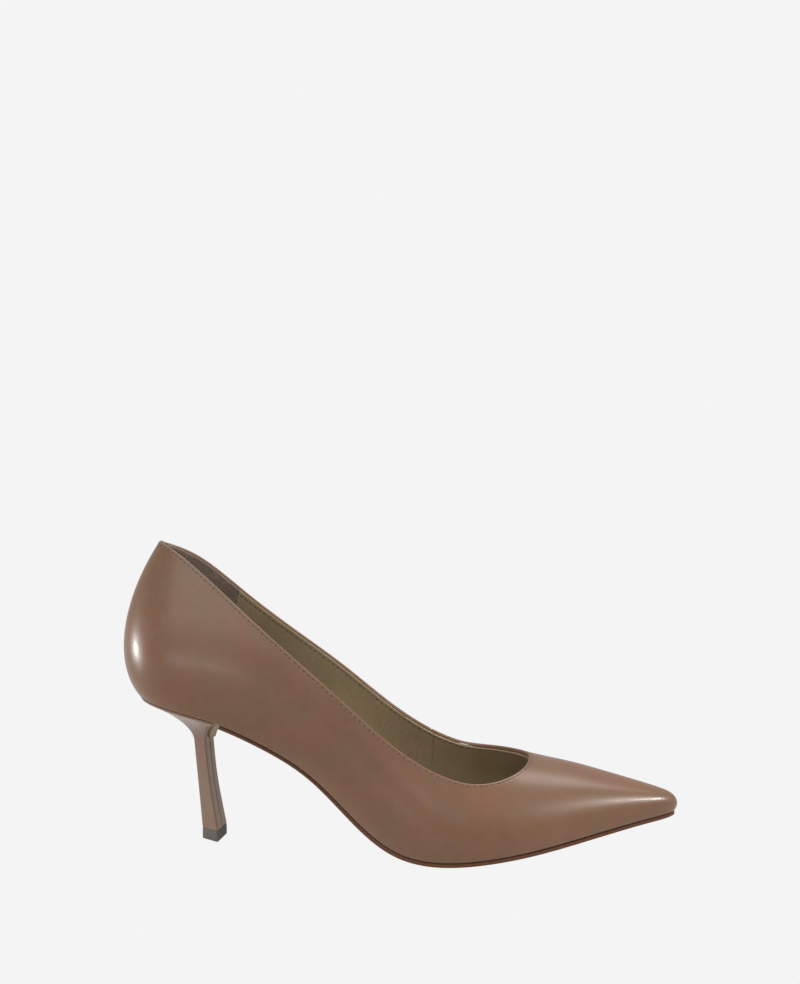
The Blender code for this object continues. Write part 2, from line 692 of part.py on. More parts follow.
def heel_rings(low_z, inset, rim_station, rim_inset, rim_height):
    """The heel's sections from the tip of the stem, through the flare, to its rim under the seat."""
    top_z = STEM_SECTIONS[-1][0]
    rings = [stem_ring(z, inset) for z in np.linspace(low_z, top_z, STEM_RINGS)[:-1]]
    start = stem_ring(top_z, inset)
    bend = stem_ring(top_z, inset, FLARE_SPREAD)
    bend[:, 2] += FLARE_HEIGHT
    outline = rim_outline(rim_station, rim_inset)
    rim = full_ring(outline, lambda x, width, side: foot_point(x, centre_y(x) + side * width, rim_height))
    for share in np.linspace(0, 1, FLARE_RINGS):
        rings.append((1 - share) ** 2 * start + 2 * share * (1 - share) * bend + share**2 * rim)
    return rings


def make_heel_cover(collection):
    leather = new_material("heel cover leather", LEATHER, 0.32)
    rings = heel_rings(STEM_SECTIONS[0][0], 0, HEEL_RIM_STATION, HEEL_RIM_INSET, HEEL_RIM_HEIGHT)
    mesh = ring_mesh("heel_cover", rings, False)
    cover = add_object("heel_cover", mesh, leather, collection)
    add_solidify(cover, HEEL_COVER_THICKNESS, even=False)


def make_heel_block(collection):
    plastic = new_material("heel block plastic", (0.6, 0.58, 0.52), 0.5)
    low_z = STEM_SECTIONS[0][0] + 0.1
    rings = heel_rings(low_z, HEEL_BLOCK_INSET, BLOCK_RIM_STATION, BLOCK_RIM_INSET, -2 * LAYER_GAP)
    mesh = ring_mesh("heel_block", rings, True)
    return add_object("heel_block", mesh, plastic, collection)


def make_top_lift(collection, cutters):
    rubber = new_material("top lift polyurethane", (0.09, 0.07, 0.06), 0.6)
    stem_foot = STEM_SECTIONS[0][0]
    rings = []
    for z, inset in ((0.0, LIFT_EDGE), (LIFT_EDGE, 0.0), (LIFT_HEIGHT, 0.0)):
        ring = stem_ring(stem_foot, inset)
        ring[:, 2] = z
        rings.append(ring)
    lift = add_object("top_lift", ring_mesh("top_lift", rings, True), rubber, collection)
    low = stem_axis(LIFT_PIN_LOW - LAYER_GAP)
    high = stem_axis(LIFT_HEIGHT + LAYER_GAP)
    add_cut(lift, add_cylinder("lift_pin_bore", LIFT_PIN_RADIUS + LAYER_GAP, low, high, cutters))


def stem_axis(z):
    """The point at a height on the leaning axis of the dowel."""
    return DOWEL_BOTTOM.lerp(DOWEL_TOP, (z - DOWEL_BOTTOM.z) / (DOWEL_TOP.z - DOWEL_BOTTOM.z))


def add_cylinder(name, radius, low, high, collection):
    """A closed cylinder between two points."""
    bm = bmesh.new()
    size = radius * MM
    depth = (high - low).length * MM
    bmesh.ops.create_cone(bm, cap_ends=True, segments=ROUND_SEGMENTS, radius1=size, radius2=size, depth=depth)
    turn = (high - low).to_track_quat("Z", "X").to_matrix().to_4x4()
    bmesh.ops.transform(bm, matrix=Matrix.Translation((low + high) / 2 * MM) @ turn, verts=bm.verts)
    mesh = bpy.data.meshes.new(name)
    bm.to_mesh(mesh)
    bm.free()
    obj = bpy.data.objects.new(name, mesh)
    collection.objects.link(obj)
    if collection.name == CUTTERS:
        hide_cutter(obj)
    return obj


def turned_piece(name, profile, material, collection):
    """A piece turned about its own Z axis, from a profile of (radius, z) that runs from top to bottom."""
    mesh = bpy.data.meshes.new(name)
    points = [(radius * MM, 0, z * MM) for radius, z in profile]
    mesh.from_pydata(points, [(i, i + 1) for i in range(len(points) - 1)], [])
    obj = bpy.data.objects.new(name, mesh)
    obj.data.materials.append(material)
    collection.objects.link(obj)
    screw = obj.modifiers.new("turn", "SCREW")
    screw.steps = ROUND_SEGMENTS
    screw.render_steps = ROUND_SEGMENTS
    screw.use_merge_vertices = True
    screw.merge_threshold = 1e-5
    screw.use_smooth_shade = True
    return obj


def place_on_foot(obj, x, y, height):
    """Stands a turned piece on the foot plane at (x, y), its axis along the plane's normal."""
    normal_x, normal_z = foot_normal(x)
    point = foot_point(x, y, height)
    obj.location = Vector(point) * MM
    obj.rotation_euler = (0, math.atan2(normal_x, normal_z), 0)


def nail_profile():
    """A countersunk nail: its head's top is at z = 0 and its point at the far end."""
    return (
        (0, 0),
        (NAIL_HEAD_RADIUS, 0),
        (NAIL_HEAD_RADIUS, -NAIL_HEAD_HEIGHT / 2),
        (NAIL_RADIUS, -NAIL_HEAD_HEIGHT),
        (NAIL_RADIUS, -NAIL_LENGTH + NAIL_RADIUS * 2),
        (0, -NAIL_LENGTH),
    )


def screw_profile():
    """A countersunk screw with ridges for its thread."""
    profile = [(0, 0), (SCREW_HEAD_RADIUS, 0), (SCREW_HEAD_RADIUS, -SCREW_HEAD_HEIGHT / 2)]
    profile.append((SCREW_ROOT, -SCREW_HEAD_HEIGHT))
    turns = int((SCREW_LENGTH - SCREW_HEAD_HEIGHT - 2 * SCREW_RADIUS) / SCREW_PITCH)
    for i in range(turns):
        z = -SCREW_HEAD_HEIGHT - i * SCREW_PITCH
        profile += [(SCREW_RADIUS, z - SCREW_PITCH / 2), (SCREW_ROOT, z - SCREW_PITCH)]
    profile.append((0, -SCREW_LENGTH))
    return profile


def make_fasteners(collection, cutters, insole, shank_board, shank, block):
    steel = new_material("fastener steel", STEEL, 0.4, 1.0)
    screw = turned_piece("heel_screw", screw_profile(), steel, collection)
    place_on_foot(screw, SCREW_X, 0.0, FASTENER_HEIGHT)
    size = (SCREW_RADIUS, SCREW_HEAD_RADIUS, SCREW_LENGTH)
    drill("heel_screw", (SCREW_X, 0.0), size, cutters, insole, (shank_board, shank, block))
    for number, place in enumerate(NAIL_PLACES, 1):
        name = f"heel_nail_{number}"
        nail = turned_piece(name, nail_profile(), steel, collection)
        place_on_foot(nail, *place, FASTENER_HEIGHT)
        size = (NAIL_RADIUS, NAIL_HEAD_RADIUS, NAIL_LENGTH)
        drill(name, place, size, cutters, insole, (shank_board, block))


def drill(name, place, size, cutters, insole, others):
    """Clearance holes for a fastener: wide through the insole board, narrow through the pieces below it."""
    x, y = place
    radius, head_radius, length = size
    shaft_low = FASTENER_HEIGHT - length - LAYER_GAP
    shaft_high = INSOLE_HEIGHT - LAYER_GAP / 6
    head_low = INSOLE_HEIGHT - HOLE_OVERRUN
    head_high = FASTENER_HEIGHT + HOLE_OVERRUN * 5
    for kind, size, low, high, pieces in (
        ("head", head_radius + LAYER_GAP, head_low, head_high, (insole,)),
        ("shaft", radius + LAYER_GAP, shaft_low, shaft_high, others),
    ):
        start = Vector(foot_point(x, y, low))
        end = Vector(foot_point(x, y, high))
        cutter = add_cylinder(f"{name}_{kind}_hole", size, start, end, cutters)
        for piece in pieces:
            add_cut(piece, cutter)


def rivet_profile():
    """A rivet with a domed head at each end: z = 0 is the lower face of the shank."""
    top = SHANK_BOARD_HEIGHT + SHANK_BOARD_THICKNESS - SHANK_HEIGHT + RIVET_PLAY
    return (
        (0, top + RIVET_DOME),
        (RIVET_CROWN_RADIUS, top + RIVET_DOME * RIVET_SHOULDER),
        (RIVET_HEAD_RADIUS, top),
        (RIVET_RADIUS, top),
        (RIVET_RADIUS, -RIVET_PLAY),
        (RIVET_HEAD_RADIUS, -RIVET_PLAY),
        (RIVET_CROWN_RADIUS, -RIVET_PLAY - RIVET_FOOT * RIVET_SHOULDER),
        (0, -RIVET_PLAY - RIVET_FOOT),
    )


def make_rivets(collection, cutters, insole, shank_board, shank):
    steel = new_material("rivet steel", STEEL, 0.4, 1.0)
    head_low = INSOLE_HEIGHT - HOLE_OVERRUN
    head_high = INSOLE_HEIGHT + INSOLE_THICKNESS + HOLE_OVERRUN
    for name, x in RIVET_PLACES:
        rivet = turned_piece(name, rivet_profile(), steel, collection)
        y = float(centre_y(x))
        place_on_foot(rivet, x, y, SHANK_HEIGHT)
        for kind, size, low, high, pieces in (
            ("shaft", RIVET_RADIUS + LAYER_GAP, 0.0, INSOLE_HEIGHT - HOLE_OVERRUN / 2, (shank, shank_board)),
            ("head", RIVET_HEAD_RADIUS + LAYER_GAP, head_low, head_high, (insole,)),
        ):
            start = Vector(foot_point(x, y, low))
            end = Vector(foot_point(x, y, high))
            cutter = add_cylinder(f"{name}_{kind}_hole", size, start, end, cutters)
            for piece in pieces:
                add_cut(piece, cutter)


def make_dowel(collection, cutters, block):
    """The steel tube up the middle of the stem, and the pin of the top lift inside it."""
    steel = new_material("dowel steel", STEEL, 0.35, 1.0)
    low, high = DOWEL_BOTTOM.z, DOWEL_TOP.z
    dowel = add_cylinder("heel_dowel", DOWEL_RADIUS, DOWEL_BOTTOM, DOWEL_TOP, collection)
    dowel.data.materials.append(steel)
    add_cut(dowel, add_cylinder("dowel_bore", DOWEL_BORE, stem_axis(low - 1), stem_axis(high + 1), cutters))
    hole_ends = stem_axis(low - 2), stem_axis(high + LAYER_GAP)
    add_cut(block, add_cylinder("dowel_hole", DOWEL_RADIUS + LAYER_GAP, *hole_ends, cutters))
    pin_ends = stem_axis(LIFT_PIN_LOW), stem_axis(LIFT_PIN_HIGH)
    pin = add_cylinder("top_lift_pin", LIFT_PIN_RADIUS, *pin_ends, collection)
    pin.data.materials.append(steel)


def stand_on_origin(collection):
    """Moves the assembly, by its root empty, so that the origin is at the bottom centre of its bounds."""
    root = bpy.data.objects.new("pump_root", None)
    collection.objects.link(root)
    bpy.context.view_layer.update()
    graph = bpy.context.evaluated_depsgraph_get()
    corners = []
    for obj in collection.objects:
        if obj.type == "MESH":
            evaluated = obj.evaluated_get(graph)
            corners += [evaluated.matrix_world @ Vector(corner) for corner in evaluated.bound_box]
    low = [min(corner[axis] for corner in corners) for axis in range(3)]
    high = [max(corner[axis] for corner in corners) for axis in range(3)]
    for obj in bpy.data.objects:
        if obj != root:
            obj.parent = root
    root.location = (-(low[0] + high[0]) / 2, -(low[1] + high[1]) / 2, -low[2])
    bpy.context.view_layer.update()


def main():
    clear_scene()
    shoe = new_collection("high_heel_pump")
    cutters = new_collection(CUTTERS)
    make_uppers(shoe)
    make_linings(shoe)
    make_stiffeners(shoe)
    insole, shank_board = make_bottom_boards(shoe)
    shank = make_shank(shoe)
    make_insole_padding(shoe)
    make_outsole(shoe, cutters)
    make_heel_cover(shoe)
    block = make_heel_block(shoe)
    make_top_lift(shoe, cutters)
    make_dowel(shoe, cutters, block)
    make_rivets(shoe, cutters, insole, shank_board, shank)
    make_fasteners(shoe, cutters, insole, shank_board, shank, block)
    stand_on_origin(shoe)


main()
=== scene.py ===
"""The looks of a pointed high heel pump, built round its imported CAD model.

The surfaces of the shoe repeat the CAD part's: they are written in millimetres in the shoe's drawing
frame, whose origin is on the floor under the middle of the heel tip, and SHIFT moves them into the
model's frame.
"""

import math

import bmesh
import bpy
import numpy as np
from mathutils import Matrix, Vector


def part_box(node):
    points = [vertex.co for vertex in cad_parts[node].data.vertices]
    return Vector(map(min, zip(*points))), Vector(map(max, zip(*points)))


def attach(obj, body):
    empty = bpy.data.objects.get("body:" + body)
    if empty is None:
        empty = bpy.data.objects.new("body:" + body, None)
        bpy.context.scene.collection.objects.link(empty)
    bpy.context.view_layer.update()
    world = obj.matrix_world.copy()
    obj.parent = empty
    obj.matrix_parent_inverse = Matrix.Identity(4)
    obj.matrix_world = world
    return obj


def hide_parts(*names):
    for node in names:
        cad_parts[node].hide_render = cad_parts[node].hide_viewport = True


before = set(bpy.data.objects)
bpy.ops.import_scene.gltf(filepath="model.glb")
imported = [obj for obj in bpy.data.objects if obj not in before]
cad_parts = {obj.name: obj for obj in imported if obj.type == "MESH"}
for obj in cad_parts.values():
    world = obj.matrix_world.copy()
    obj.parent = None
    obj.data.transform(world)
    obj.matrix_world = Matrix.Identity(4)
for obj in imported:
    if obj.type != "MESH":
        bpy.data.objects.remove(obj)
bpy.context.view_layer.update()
MM = 0.001

# ---- the shoe's surfaces

# Each station of the last: feather edge (x, half width), lower handle (x, half width, z),
# upper handle (x, half width, z) and crest (x, z). A section is the cubic Bezier of those four.
LAST_STATIONS = (
    ((-30, 0), (-43.6, 0, 81), (-37.6, 0, 117), (-7.5, 149)),
    ((-27, 12.8), (-39.4, 16.5, 81.5), (-32.2, 10, 117.5), (-4.5, 149)),
    ((-17.5, 21.8), (-26, 28, 81.5), (-15, 17, 116.5), (4, 147)),
    ((-3, 25.2), (-5.5, 32, 78.5), (4, 20.5, 112), (17, 141.5)),
    ((16, 24.6), (16.5, 32, 70), (23, 23, 102.5), (33, 132)),
    ((36, 22.8), (37, 31.5, 57), (42, 25, 89.5), (50, 118)),
    ((55, 23.6), (56.5, 32.5, 42.5), (60, 26.5, 75), (66, 101.5)),
    ((72.5, 28.6), (74, 36, 29), (76.5, 27.5, 61), (81, 84)),
    ((89, 34.2), (90.5, 40, 21.5), (92.5, 27, 49.5), (96, 66)),
    ((106, 37.2), (107, 42, 19), (108.5, 25, 42), (111, 51)),
    ((123.5, 36), (124, 40.5, 18.8), (125, 21.5, 38.5), (126.5, 41.5)),
    ((141, 30.8), (141.5, 35, 19), (142, 17.5, 35.4), (142.5, 35.6)),
    ((158, 23.8), (158.5, 27.4, 19.2), (159, 13.8, 31.6), (159.5, 31.9)),
    ((174, 16.8), (174.8, 19.8, 19), (175, 10.4, 27.3), (175, 27.6)),
    ((188, 10.6), (189.5, 13, 18.4), (188.5, 7.2, 23.4), (187.5, 23.9)),
    ((199.2, 5.4), (201.4, 6.8, 17.2), (198.6, 4, 20.7), (194.5, 21.6)),
    ((203.6, 0), (206.6, 0, 15.2), (204, 0, 19.4), (196.5, 21)),
)
LAST_STATION = len(LAST_STATIONS) - 1
GIRTH = 2 * LAST_STATION
FOOT_PLANE = (
    (-30.4, 66.4), (-17, 63.9), (-3, 60.4), (8, 57), (22, 50.6), (35, 43.3), (48, 34),
    (60, 22.8), (70, 13.8), (80, 7.3), (92, 3.8), (105, 3.1), (120, 3.6), (140, 4.9),
    (160, 7), (180, 9.3), (203.6, 11.5),
)
CENTRE_LINE = (
    (-50, 0), (0, 0), (45, -2), (80, -1.5), (105, 0), (125, 1.5), (150, 2.2),
    (210, 2.2),
)
TOPLINE_LATERAL = (
    (0, 0.834), (1.4, 0.802), (2.7, 0.724), (4.1, 0.633), (5.8, 0.592), (7.5, 0.588), (9.1, 0.574),
)
TOPLINE_MEDIAL = (
    (0, 0.834), (1.2, 0.806), (2.3, 0.752), (3.7, 0.645), (4.5, 0.620), (5.8, 0.630), (7.6, 0.646),
    (9.1, 0.654),
)
THROAT_START = 9.1
THROAT_FRONT = 10.87
THROAT_POWER_LATERAL = 2.3
THROAT_POWER_MEDIAL = 1.6
UPPER_THICKNESS = 1.0
LINING_DEPTH = 2.1
LINING_THICKNESS = 0.6
GRIP_THICKNESS = 0.7
LINING_MARGIN_HEIGHT = 1.25
INSOLE_INSET = 3.3
SOCK_HEIGHT = 5.1
SOCK_THICKNESS = 0.8
HEEL_PAD_THICKNESS = 2.0
FOREFOOT_PAD_THICKNESS = 1.5
LAYER_GAP = 0.3
MARGIN_WIDTH = 9.0
SIDE_SEAM = GIRTH - 8.3
BACK_SEAM_GAP = 0.05
SEAM_GAP = 0.02
LINING_SEAM = 8.4
GRIP_SEAM = 3.3
STEM_FOOT = 5.1
STEM_SECTIONS = (
    (5.1, 0.1, 8.8, 11.0, 3.9),
    (16.0, -1.2, 7.8, 10.1, 3.7),
    (28.0, -2.5, 6.9, 9.6, 3.9),
    (44.0, -3.7, 6.6, 9.8, 4.6),
)
STEM_CORNER = 0.9
GROOVE_WIDTH = 0.28
HEEL_TURN = math.radians(-10)
STEP = 0.02
SLOPE_STEP = 0.5
INSET_STEP = 0.05
WALK_STEP = 0.01
WALK_ROUNDS = 4
SHARP_ANGLE = math.radians(42)
BEVEL_ANGLE = math.radians(50)
WELD_DISTANCE = 2e-6


def natural_spline(knots):
    """The smooth function through (place, value) knots, straight at both ends."""
    places, values = (np.array(column, float) for column in zip(*knots))
    count = len(places)
    steps = np.diff(places)
    matrix = np.eye(count)
    right = np.zeros(count)
    for i in range(1, count - 1):
        matrix[i, i - 1 : i + 2] = steps[i - 1], 2 * (steps[i - 1] + steps[i]), steps[i]
        rise = (values[i + 1] - values[i]) / steps[i]
        right[i] = 6 * (rise - (values[i] - values[i - 1]) / steps[i - 1])
    bends = np.linalg.solve(matrix, right)

    def value(place):
        place = np.asarray(place, float)
        i = np.clip(np.searchsorted(places, place) - 1, 0, count - 2)
        step = steps[i]
        before = (places[i + 1] - place) / step
        after = (place - places[i]) / step
        bend = (before**3 - before) * bends[i] + (after**3 - after) * bends[i + 1]
        return before * values[i] + after * values[i + 1] + bend * step**2 / 6

    return value


def along_last(point, axis, sign):
    """The spline of one coordinate of the stations, continued round both ends: sign is -1 for widths."""
    row = [station[point][axis] for station in LAST_STATIONS]
    values = [sign * v for v in row[3:0:-1]] + row + [sign * v for v in row[-2:-5:-1]]
    return natural_spline([(i - 3, value) for i, value in enumerate(values)])


FEATHER_X = along_last(0, 0, 1)
FEATHER_WIDTH = along_last(0, 1, -1)
LOWER_HANDLE = [along_last(1, 0, 1), along_last(1, 1, -1), along_last(1, 2, 1)]
UPPER_HANDLE = [along_last(2, 0, 1), along_last(2, 1, -1), along_last(2, 2, 1)]
CREST_X = along_last(3, 0, 1)
CREST_Z = along_last(3, 1, 1)
foot_z = natural_spline(FOOT_PLANE)
centre_y = natural_spline(CENTRE_LINE)


def station_and_side(girth):
    """A place around the girth, from the back past the lateral side and the toe, as a station and a side."""
    girth = np.mod(np.asarray(girth, float), GIRTH)
    lateral = girth <= LAST_STATION
    return np.where(lateral, girth, GIRTH - girth), np.where(lateral, -1.0, 1.0)


def last_point(station, side, share):
    """The outer face of the upper: share is 0 on the feather edge and 1 on the crest."""
    x = FEATHER_X(station)
    points = (
        (x, FEATHER_WIDTH(station), foot_z(x)),
        [f(station) for f in LOWER_HANDLE],
        [f(station) for f in UPPER_HANDLE],
        (CREST_X(station), 0 * x, CREST_Z(station)),
    )
    weights = ((1 - share) ** 3, 3 * share * (1 - share) ** 2, 3 * share**2 * (1 - share), share**3)
    x, width, z = (sum(w * p[axis] for w, p in zip(weights, points)) for axis in range(3))
    return np.stack([x, centre_y(x) + side * width, z], axis=-1)


def outer_point(girth, share):
    return last_point(*station_and_side(girth), np.asarray(share, float))


def face_normal(girth, share):
    """The outward normal of the outer face, which has no sideways part on the crest."""
    station, side = station_and_side(girth)
    share = np.asarray(share, float)
    inner = np.clip(share, STEP, 1 - STEP)
    along = last_point(station + STEP, side, inner) - last_point(station - STEP, side, inner)
    up = last_point(station, side, inner + STEP) - last_point(station, side, inner - STEP)
    normal = np.cross(along, up) * -side[..., None]
    normal[..., 1] *= np.clip((1 - share) / STEP, 0, 1)
    return normal / np.linalg.norm(normal, axis=-1, keepdims=True)


def layer_point(girth, share, depth):
    """The point that lies a depth inside the outer face, along its normal."""
    return outer_point(girth, share) - face_normal(girth, share) * np.asarray(depth)[..., None]


def walk(girth, share, move):
    """The place on the outer face that a small move in millimetres leads to."""
    girth, share = np.array(girth, float), np.array(share, float)
    target = outer_point(girth, share) + move
    small = WALK_STEP
    for _ in range(WALK_ROUNDS):
        gap = target - outer_point(girth, share)
        a = (outer_point(girth + small, share) - outer_point(girth - small, share)) / (2 * small)
        b = (outer_point(girth, share + small) - outer_point(girth, share - small)) / (2 * small)
        aa, bb, ab = (a * a).sum(-1), (b * b).sum(-1), (a * b).sum(-1)
        ga, gb = (gap * a).sum(-1), (gap * b).sum(-1)
        det = aa * bb - ab**2
        girth = girth + (ga * bb - gb * ab) / det
        share = share + (gb * aa - ga * ab) / det
    return girth, share


def topline_share(girth):
    """The share of the section's height at which the topline crosses it; 1 on the closed vamp."""
    station, side = station_and_side(girth)
    sides = []
    for knots, power in ((TOPLINE_LATERAL, THROAT_POWER_LATERAL), (TOPLINE_MEDIAL, THROAT_POWER_MEDIAL)):
        run = np.clip((station - THROAT_START) / (THROAT_FRONT - THROAT_START), 0, 1)
        throat = 1 - (1 - knots[-1][1]) * (1 - run**power) ** (1 / power)
        sides.append(np.where(station < THROAT_START, natural_spline(knots)(station), throat))
    return np.where(side < 0, sides[0], sides[1])


def foot_normal(x):
    """The upward normal of the foot plane in side view."""
    slope = (foot_z(x + SLOPE_STEP) - foot_z(x - SLOPE_STEP)) / (2 * SLOPE_STEP)
    length = np.sqrt(1 + slope**2)
    return -slope / length, 1 / length


def foot_point(x, y, height):
    """The point a height above the foot plane, along its normal."""
    x = np.asarray(x, float)
    normal_x, normal_z = foot_normal(x)
    return np.stack([x + normal_x * height, y + 0 * x, foot_z(x) + normal_z * height], axis=-1)


def feather_inset(station, inset):
    """The x and half width of the feather line moved inwards by an inset."""
    station = np.asarray(station, float)
    along_x = FEATHER_X(station + INSET_STEP) - FEATHER_X(station - INSET_STEP)
    along_w = FEATHER_WIDTH(station + INSET_STEP) - FEATHER_WIDTH(station - INSET_STEP)
    length = np.hypot(along_x, along_w)
    width = FEATHER_WIDTH(station)
    inner = np.maximum(width - inset * abs(along_x) / length, 0.35 * width)
    return FEATHER_X(station) + inset * along_w / length, inner


def smooth_step(value, start, end):
    share = np.clip((np.asarray(value, float) - start) / (end - start), 0.0, 1.0)
    return share * share * (3 - 2 * share)


def curve(share, start, bend, end):
    """The point at a share of the way along a quadratic curve."""
    return (1 - share) ** 2 * start + 2 * share * (1 - share) * bend + share**2 * end


def bump(value, centre, width):
    """A smooth rise of 1 at the centre that is gone a couple of widths away."""
    return np.exp(-(((np.asarray(value, float) - centre) / width) ** 2))


# ---- meshes


def stem_half(depth, breast, back, inset, groove, places):
    """Half the stem's section from the breast's middle to the back's: 2 to 5 and 10 to 13 are corners."""
    front = depth / 2 - inset
    breast_corner = (front, breast / 2 - inset)
    back_corner = (-front, back / 2 - inset * 0.8)
    corners = np.array([(front, 0), breast_corner, back_corner, (-front, 0)])
    size = STEM_CORNER - inset / 3

    def round_corner(i, share):
        before, corner, after = corners[i - 1], corners[i], corners[i + 1]
        start = corner + (before - corner) / np.linalg.norm(before - corner) * size
        end = corner + (after - corner) / np.linalg.norm(after - corner) * size
        return curve(share, start, corner, end)

    points = []
    for u in places:
        if u <= 1:
            point = np.array((front, u * corners[1][1] / 2))
        elif u <= 2:
            point = np.array((front, corners[1][1] / 2)) * (2 - u) + round_corner(1, 0) * (u - 1)
        elif u <= 5:
            point = round_corner(1, (u - 2) / 3)
        elif u <= 10:
            point = round_corner(1, 1) * (10 - u) / 5 + round_corner(2, 0) * (u - 5) / 5
        elif u <= 13:
            point = round_corner(2, (u - 10) / 3)
        else:
            point = round_corner(2, 1) * (14 - u) + corners[3] * (u - 13)
        point = point - np.array((groove * float(bump(point[1], 0, GROOVE_WIDTH)) * (u < 2), 0))
        points.append(point)
    return np.array(points)


def full_ring(half, place):
    """Both halves of a ring: place turns (x, half width, side) into a point."""
    lateral = [place(x, width, -1) for x, width in half]
    medial = [place(x, width, 1) for x, width in half[-2:0:-1]]
    return np.array(lateral + medial)


HEEL_PLACES = np.concatenate([
    (0, 0.05, 0.1, 0.15, 0.22, 0.32, 0.6, 1, 1.6),
    np.linspace(2, 5, 8),
    np.linspace(5, 10, 8)[1:],
    np.linspace(10, 13, 8)[1:],
    (13.5, 14),
])
STEM_HEIGHTS, *STEM_COLUMNS = zip(*STEM_SECTIONS)
STEM_SPLINES = [natural_spline(list(zip(STEM_HEIGHTS, column))) for column in STEM_COLUMNS]


def stem_ring(z, inset, spread=1.0, groove=0.0):
    """The stem's section at a height, turned with the heel."""
    centre, depth, breast, back = (float(spline(z)) for spline in STEM_SPLINES)
    turn_cos, turn_sin = math.cos(HEEL_TURN), math.sin(HEEL_TURN)

    def place(x, width, side):
        y = side * width
        return centre + x * turn_cos - y * turn_sin, x * turn_sin + y * turn_cos, z

    half = stem_half(depth * spread, breast * spread, back * spread, inset, groove, HEEL_PLACES)
    return full_ring(half, place)


def drawing_shift():
    """The model's frame is the drawing frame moved sideways: the top lift shows by how much."""
    low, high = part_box("top_lift")
    ring = stem_ring(STEM_FOOT, 0)
    middle = (ring.min(0) + ring.max(0)) / 2
    return np.array([(low.x + high.x) / 2 / MM - middle[0], (low.y + high.y) / 2 / MM - middle[1], 0.0])


SHIFT = drawing_shift()


def add_object(name, data):
    obj = bpy.data.objects.new(name, data)
    bpy.context.scene.collection.objects.link(obj)
    return obj


def add_piece(name, points, faces, materials, slot, replaced=(), kinds=None, closed=True):
    """A piece of the shoe from points in the drawing frame. kinds says which material each face has."""
    mesh = bpy.data.meshes.new(name)
    mesh.from_pydata(((np.asarray(points) + SHIFT) * MM).tolist(), [], faces)
    if kinds is not None:
        mesh.polygons.foreach_set("material_index", kinds)
    bm = bmesh.new()
    bm.from_mesh(mesh)
    bmesh.ops.remove_doubles(bm, verts=bm.verts, dist=WELD_DISTANCE)
    bmesh.ops.dissolve_degenerate(bm, edges=bm.edges, dist=WELD_DISTANCE / 2)
    if closed:
        bmesh.ops.recalc_face_normals(bm, faces=bm.faces)
    bm.to_mesh(mesh)
    bm.free()
    for material in materials:
        mesh.materials.append(material)
    mesh.shade_smooth()
    mesh.set_sharp_from_angle(angle=SHARP_ANGLE)
    obj = add_object(name, mesh)
    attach(obj, "root")
    if replaced:
        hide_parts(*replaced)
    return obj


def grid_faces(rows, count, around=False):
    """The faces of a grid of rows; around joins each row's ends."""
    faces = []
    for r in range(rows - 1):
        for c in range(count if around else count - 1):
            d = (c + 1) % count
            low, high = r * count, (r + 1) * count
            faces.append((low + c, high + c, high + d, low + d))
    return faces


def add_sheet(name, grid, material, slot, replaced=()):
    """A piece of no thickness from a grid of points."""
    faces = grid_faces(*grid.shape[:2])
    return add_piece(name, grid.reshape(-1, 3), faces, [material], slot, replaced, closed=False)


def solidify(obj, thickness, soft_edge=0.0, even=True):
    """Gives a sheet its thickness and, where asked, soft edges, and keeps the result as its mesh."""
    modifier = obj.modifiers.new("thickness", "SOLIDIFY")
    modifier.thickness = thickness * MM
    modifier.offset = -1
    modifier.use_even_offset = even
    if soft_edge:
        modifier = obj.modifiers.new("soft edges", "BEVEL")
        modifier.width = soft_edge * MM
        modifier.segments = 3
        modifier.limit_method = "ANGLE"
        modifier.angle_limit = BEVEL_ANGLE
    graph = bpy.context.evaluated_depsgraph_get()
    mesh = bpy.data.meshes.new_from_object(obj.evaluated_get(graph))
    mesh.name = obj.name
    obj.modifiers.clear()
    obj.data = mesh
    mesh.set_sharp_from_angle(angle=SHARP_ANGLE)


def sweep(sections):
    """Points and faces of a closed body through rings of points, with both ends capped."""
    count = len(sections[0])
    faces = grid_faces(len(sections), count, around=True)
    last = (len(sections) - 1) * count
    faces.append(tuple(range(count)))
    faces.append(tuple(last + i for i in range(count))[::-1])
    return np.vstack(sections), faces


# ---- the topline


def topline_halves():
    """The topline's places on each side, from the back to the throat, with the length along it."""
    back = np.linspace(0, THROAT_START, 400, endpoint=False)
    quarter_turn = np.sin(np.linspace(0, math.pi / 2, 260))
    stations = np.concatenate([back, THROAT_START + (THROAT_FRONT - THROAT_START) * quarter_turn])
    halves = []
    for girths in (stations, GIRTH - stations[::-1]):
        shares = topline_share(girths)
        shares[np.isclose(np.minimum(girths, GIRTH - girths), THROAT_FRONT)] = 1
        points = outer_point(girths, shares)
        lengths = np.concatenate([[0], np.cumsum(np.linalg.norm(np.diff(points, axis=0), axis=1))])
        halves.append((girths, shares, lengths))
    return halves


LATERAL_HALF, MEDIAL_HALF = topline_halves()
LATERAL_LENGTH = LATERAL_HALF[2][-1]
TOPLINE_LENGTH = LATERAL_LENGTH + MEDIAL_HALF[2][-1]


def topline_place(length):
    """The girth and share at a length along the topline, from the back round the lateral side."""
    length = np.mod(length, TOPLINE_LENGTH)
    on_lateral = length <= LATERAL_LENGTH
    places = []
    for i in (0, 1):
        lateral = np.interp(length, LATERAL_HALF[2], LATERAL_HALF[i])
        medial = np.interp(length - LATERAL_LENGTH, MEDIAL_HALF[2], MEDIAL_HALF[i])
        places.append(np.where(on_lateral, lateral, medial))
    return places


def topline_frame(length):
    """At a length along the topline: its place, its direction and the way up in the surface."""
    girth, share = topline_place(length)
    ahead = outer_point(*topline_place(length + 0.4)) - outer_point(*topline_place(length - 0.4))
    ahead /= np.linalg.norm(ahead, axis=-1, keepdims=True)
    normal = face_normal(girth, share)
    up = np.cross(normal, ahead)
    up /= np.linalg.norm(up, axis=-1, keepdims=True)
    return girth, share, ahead, up


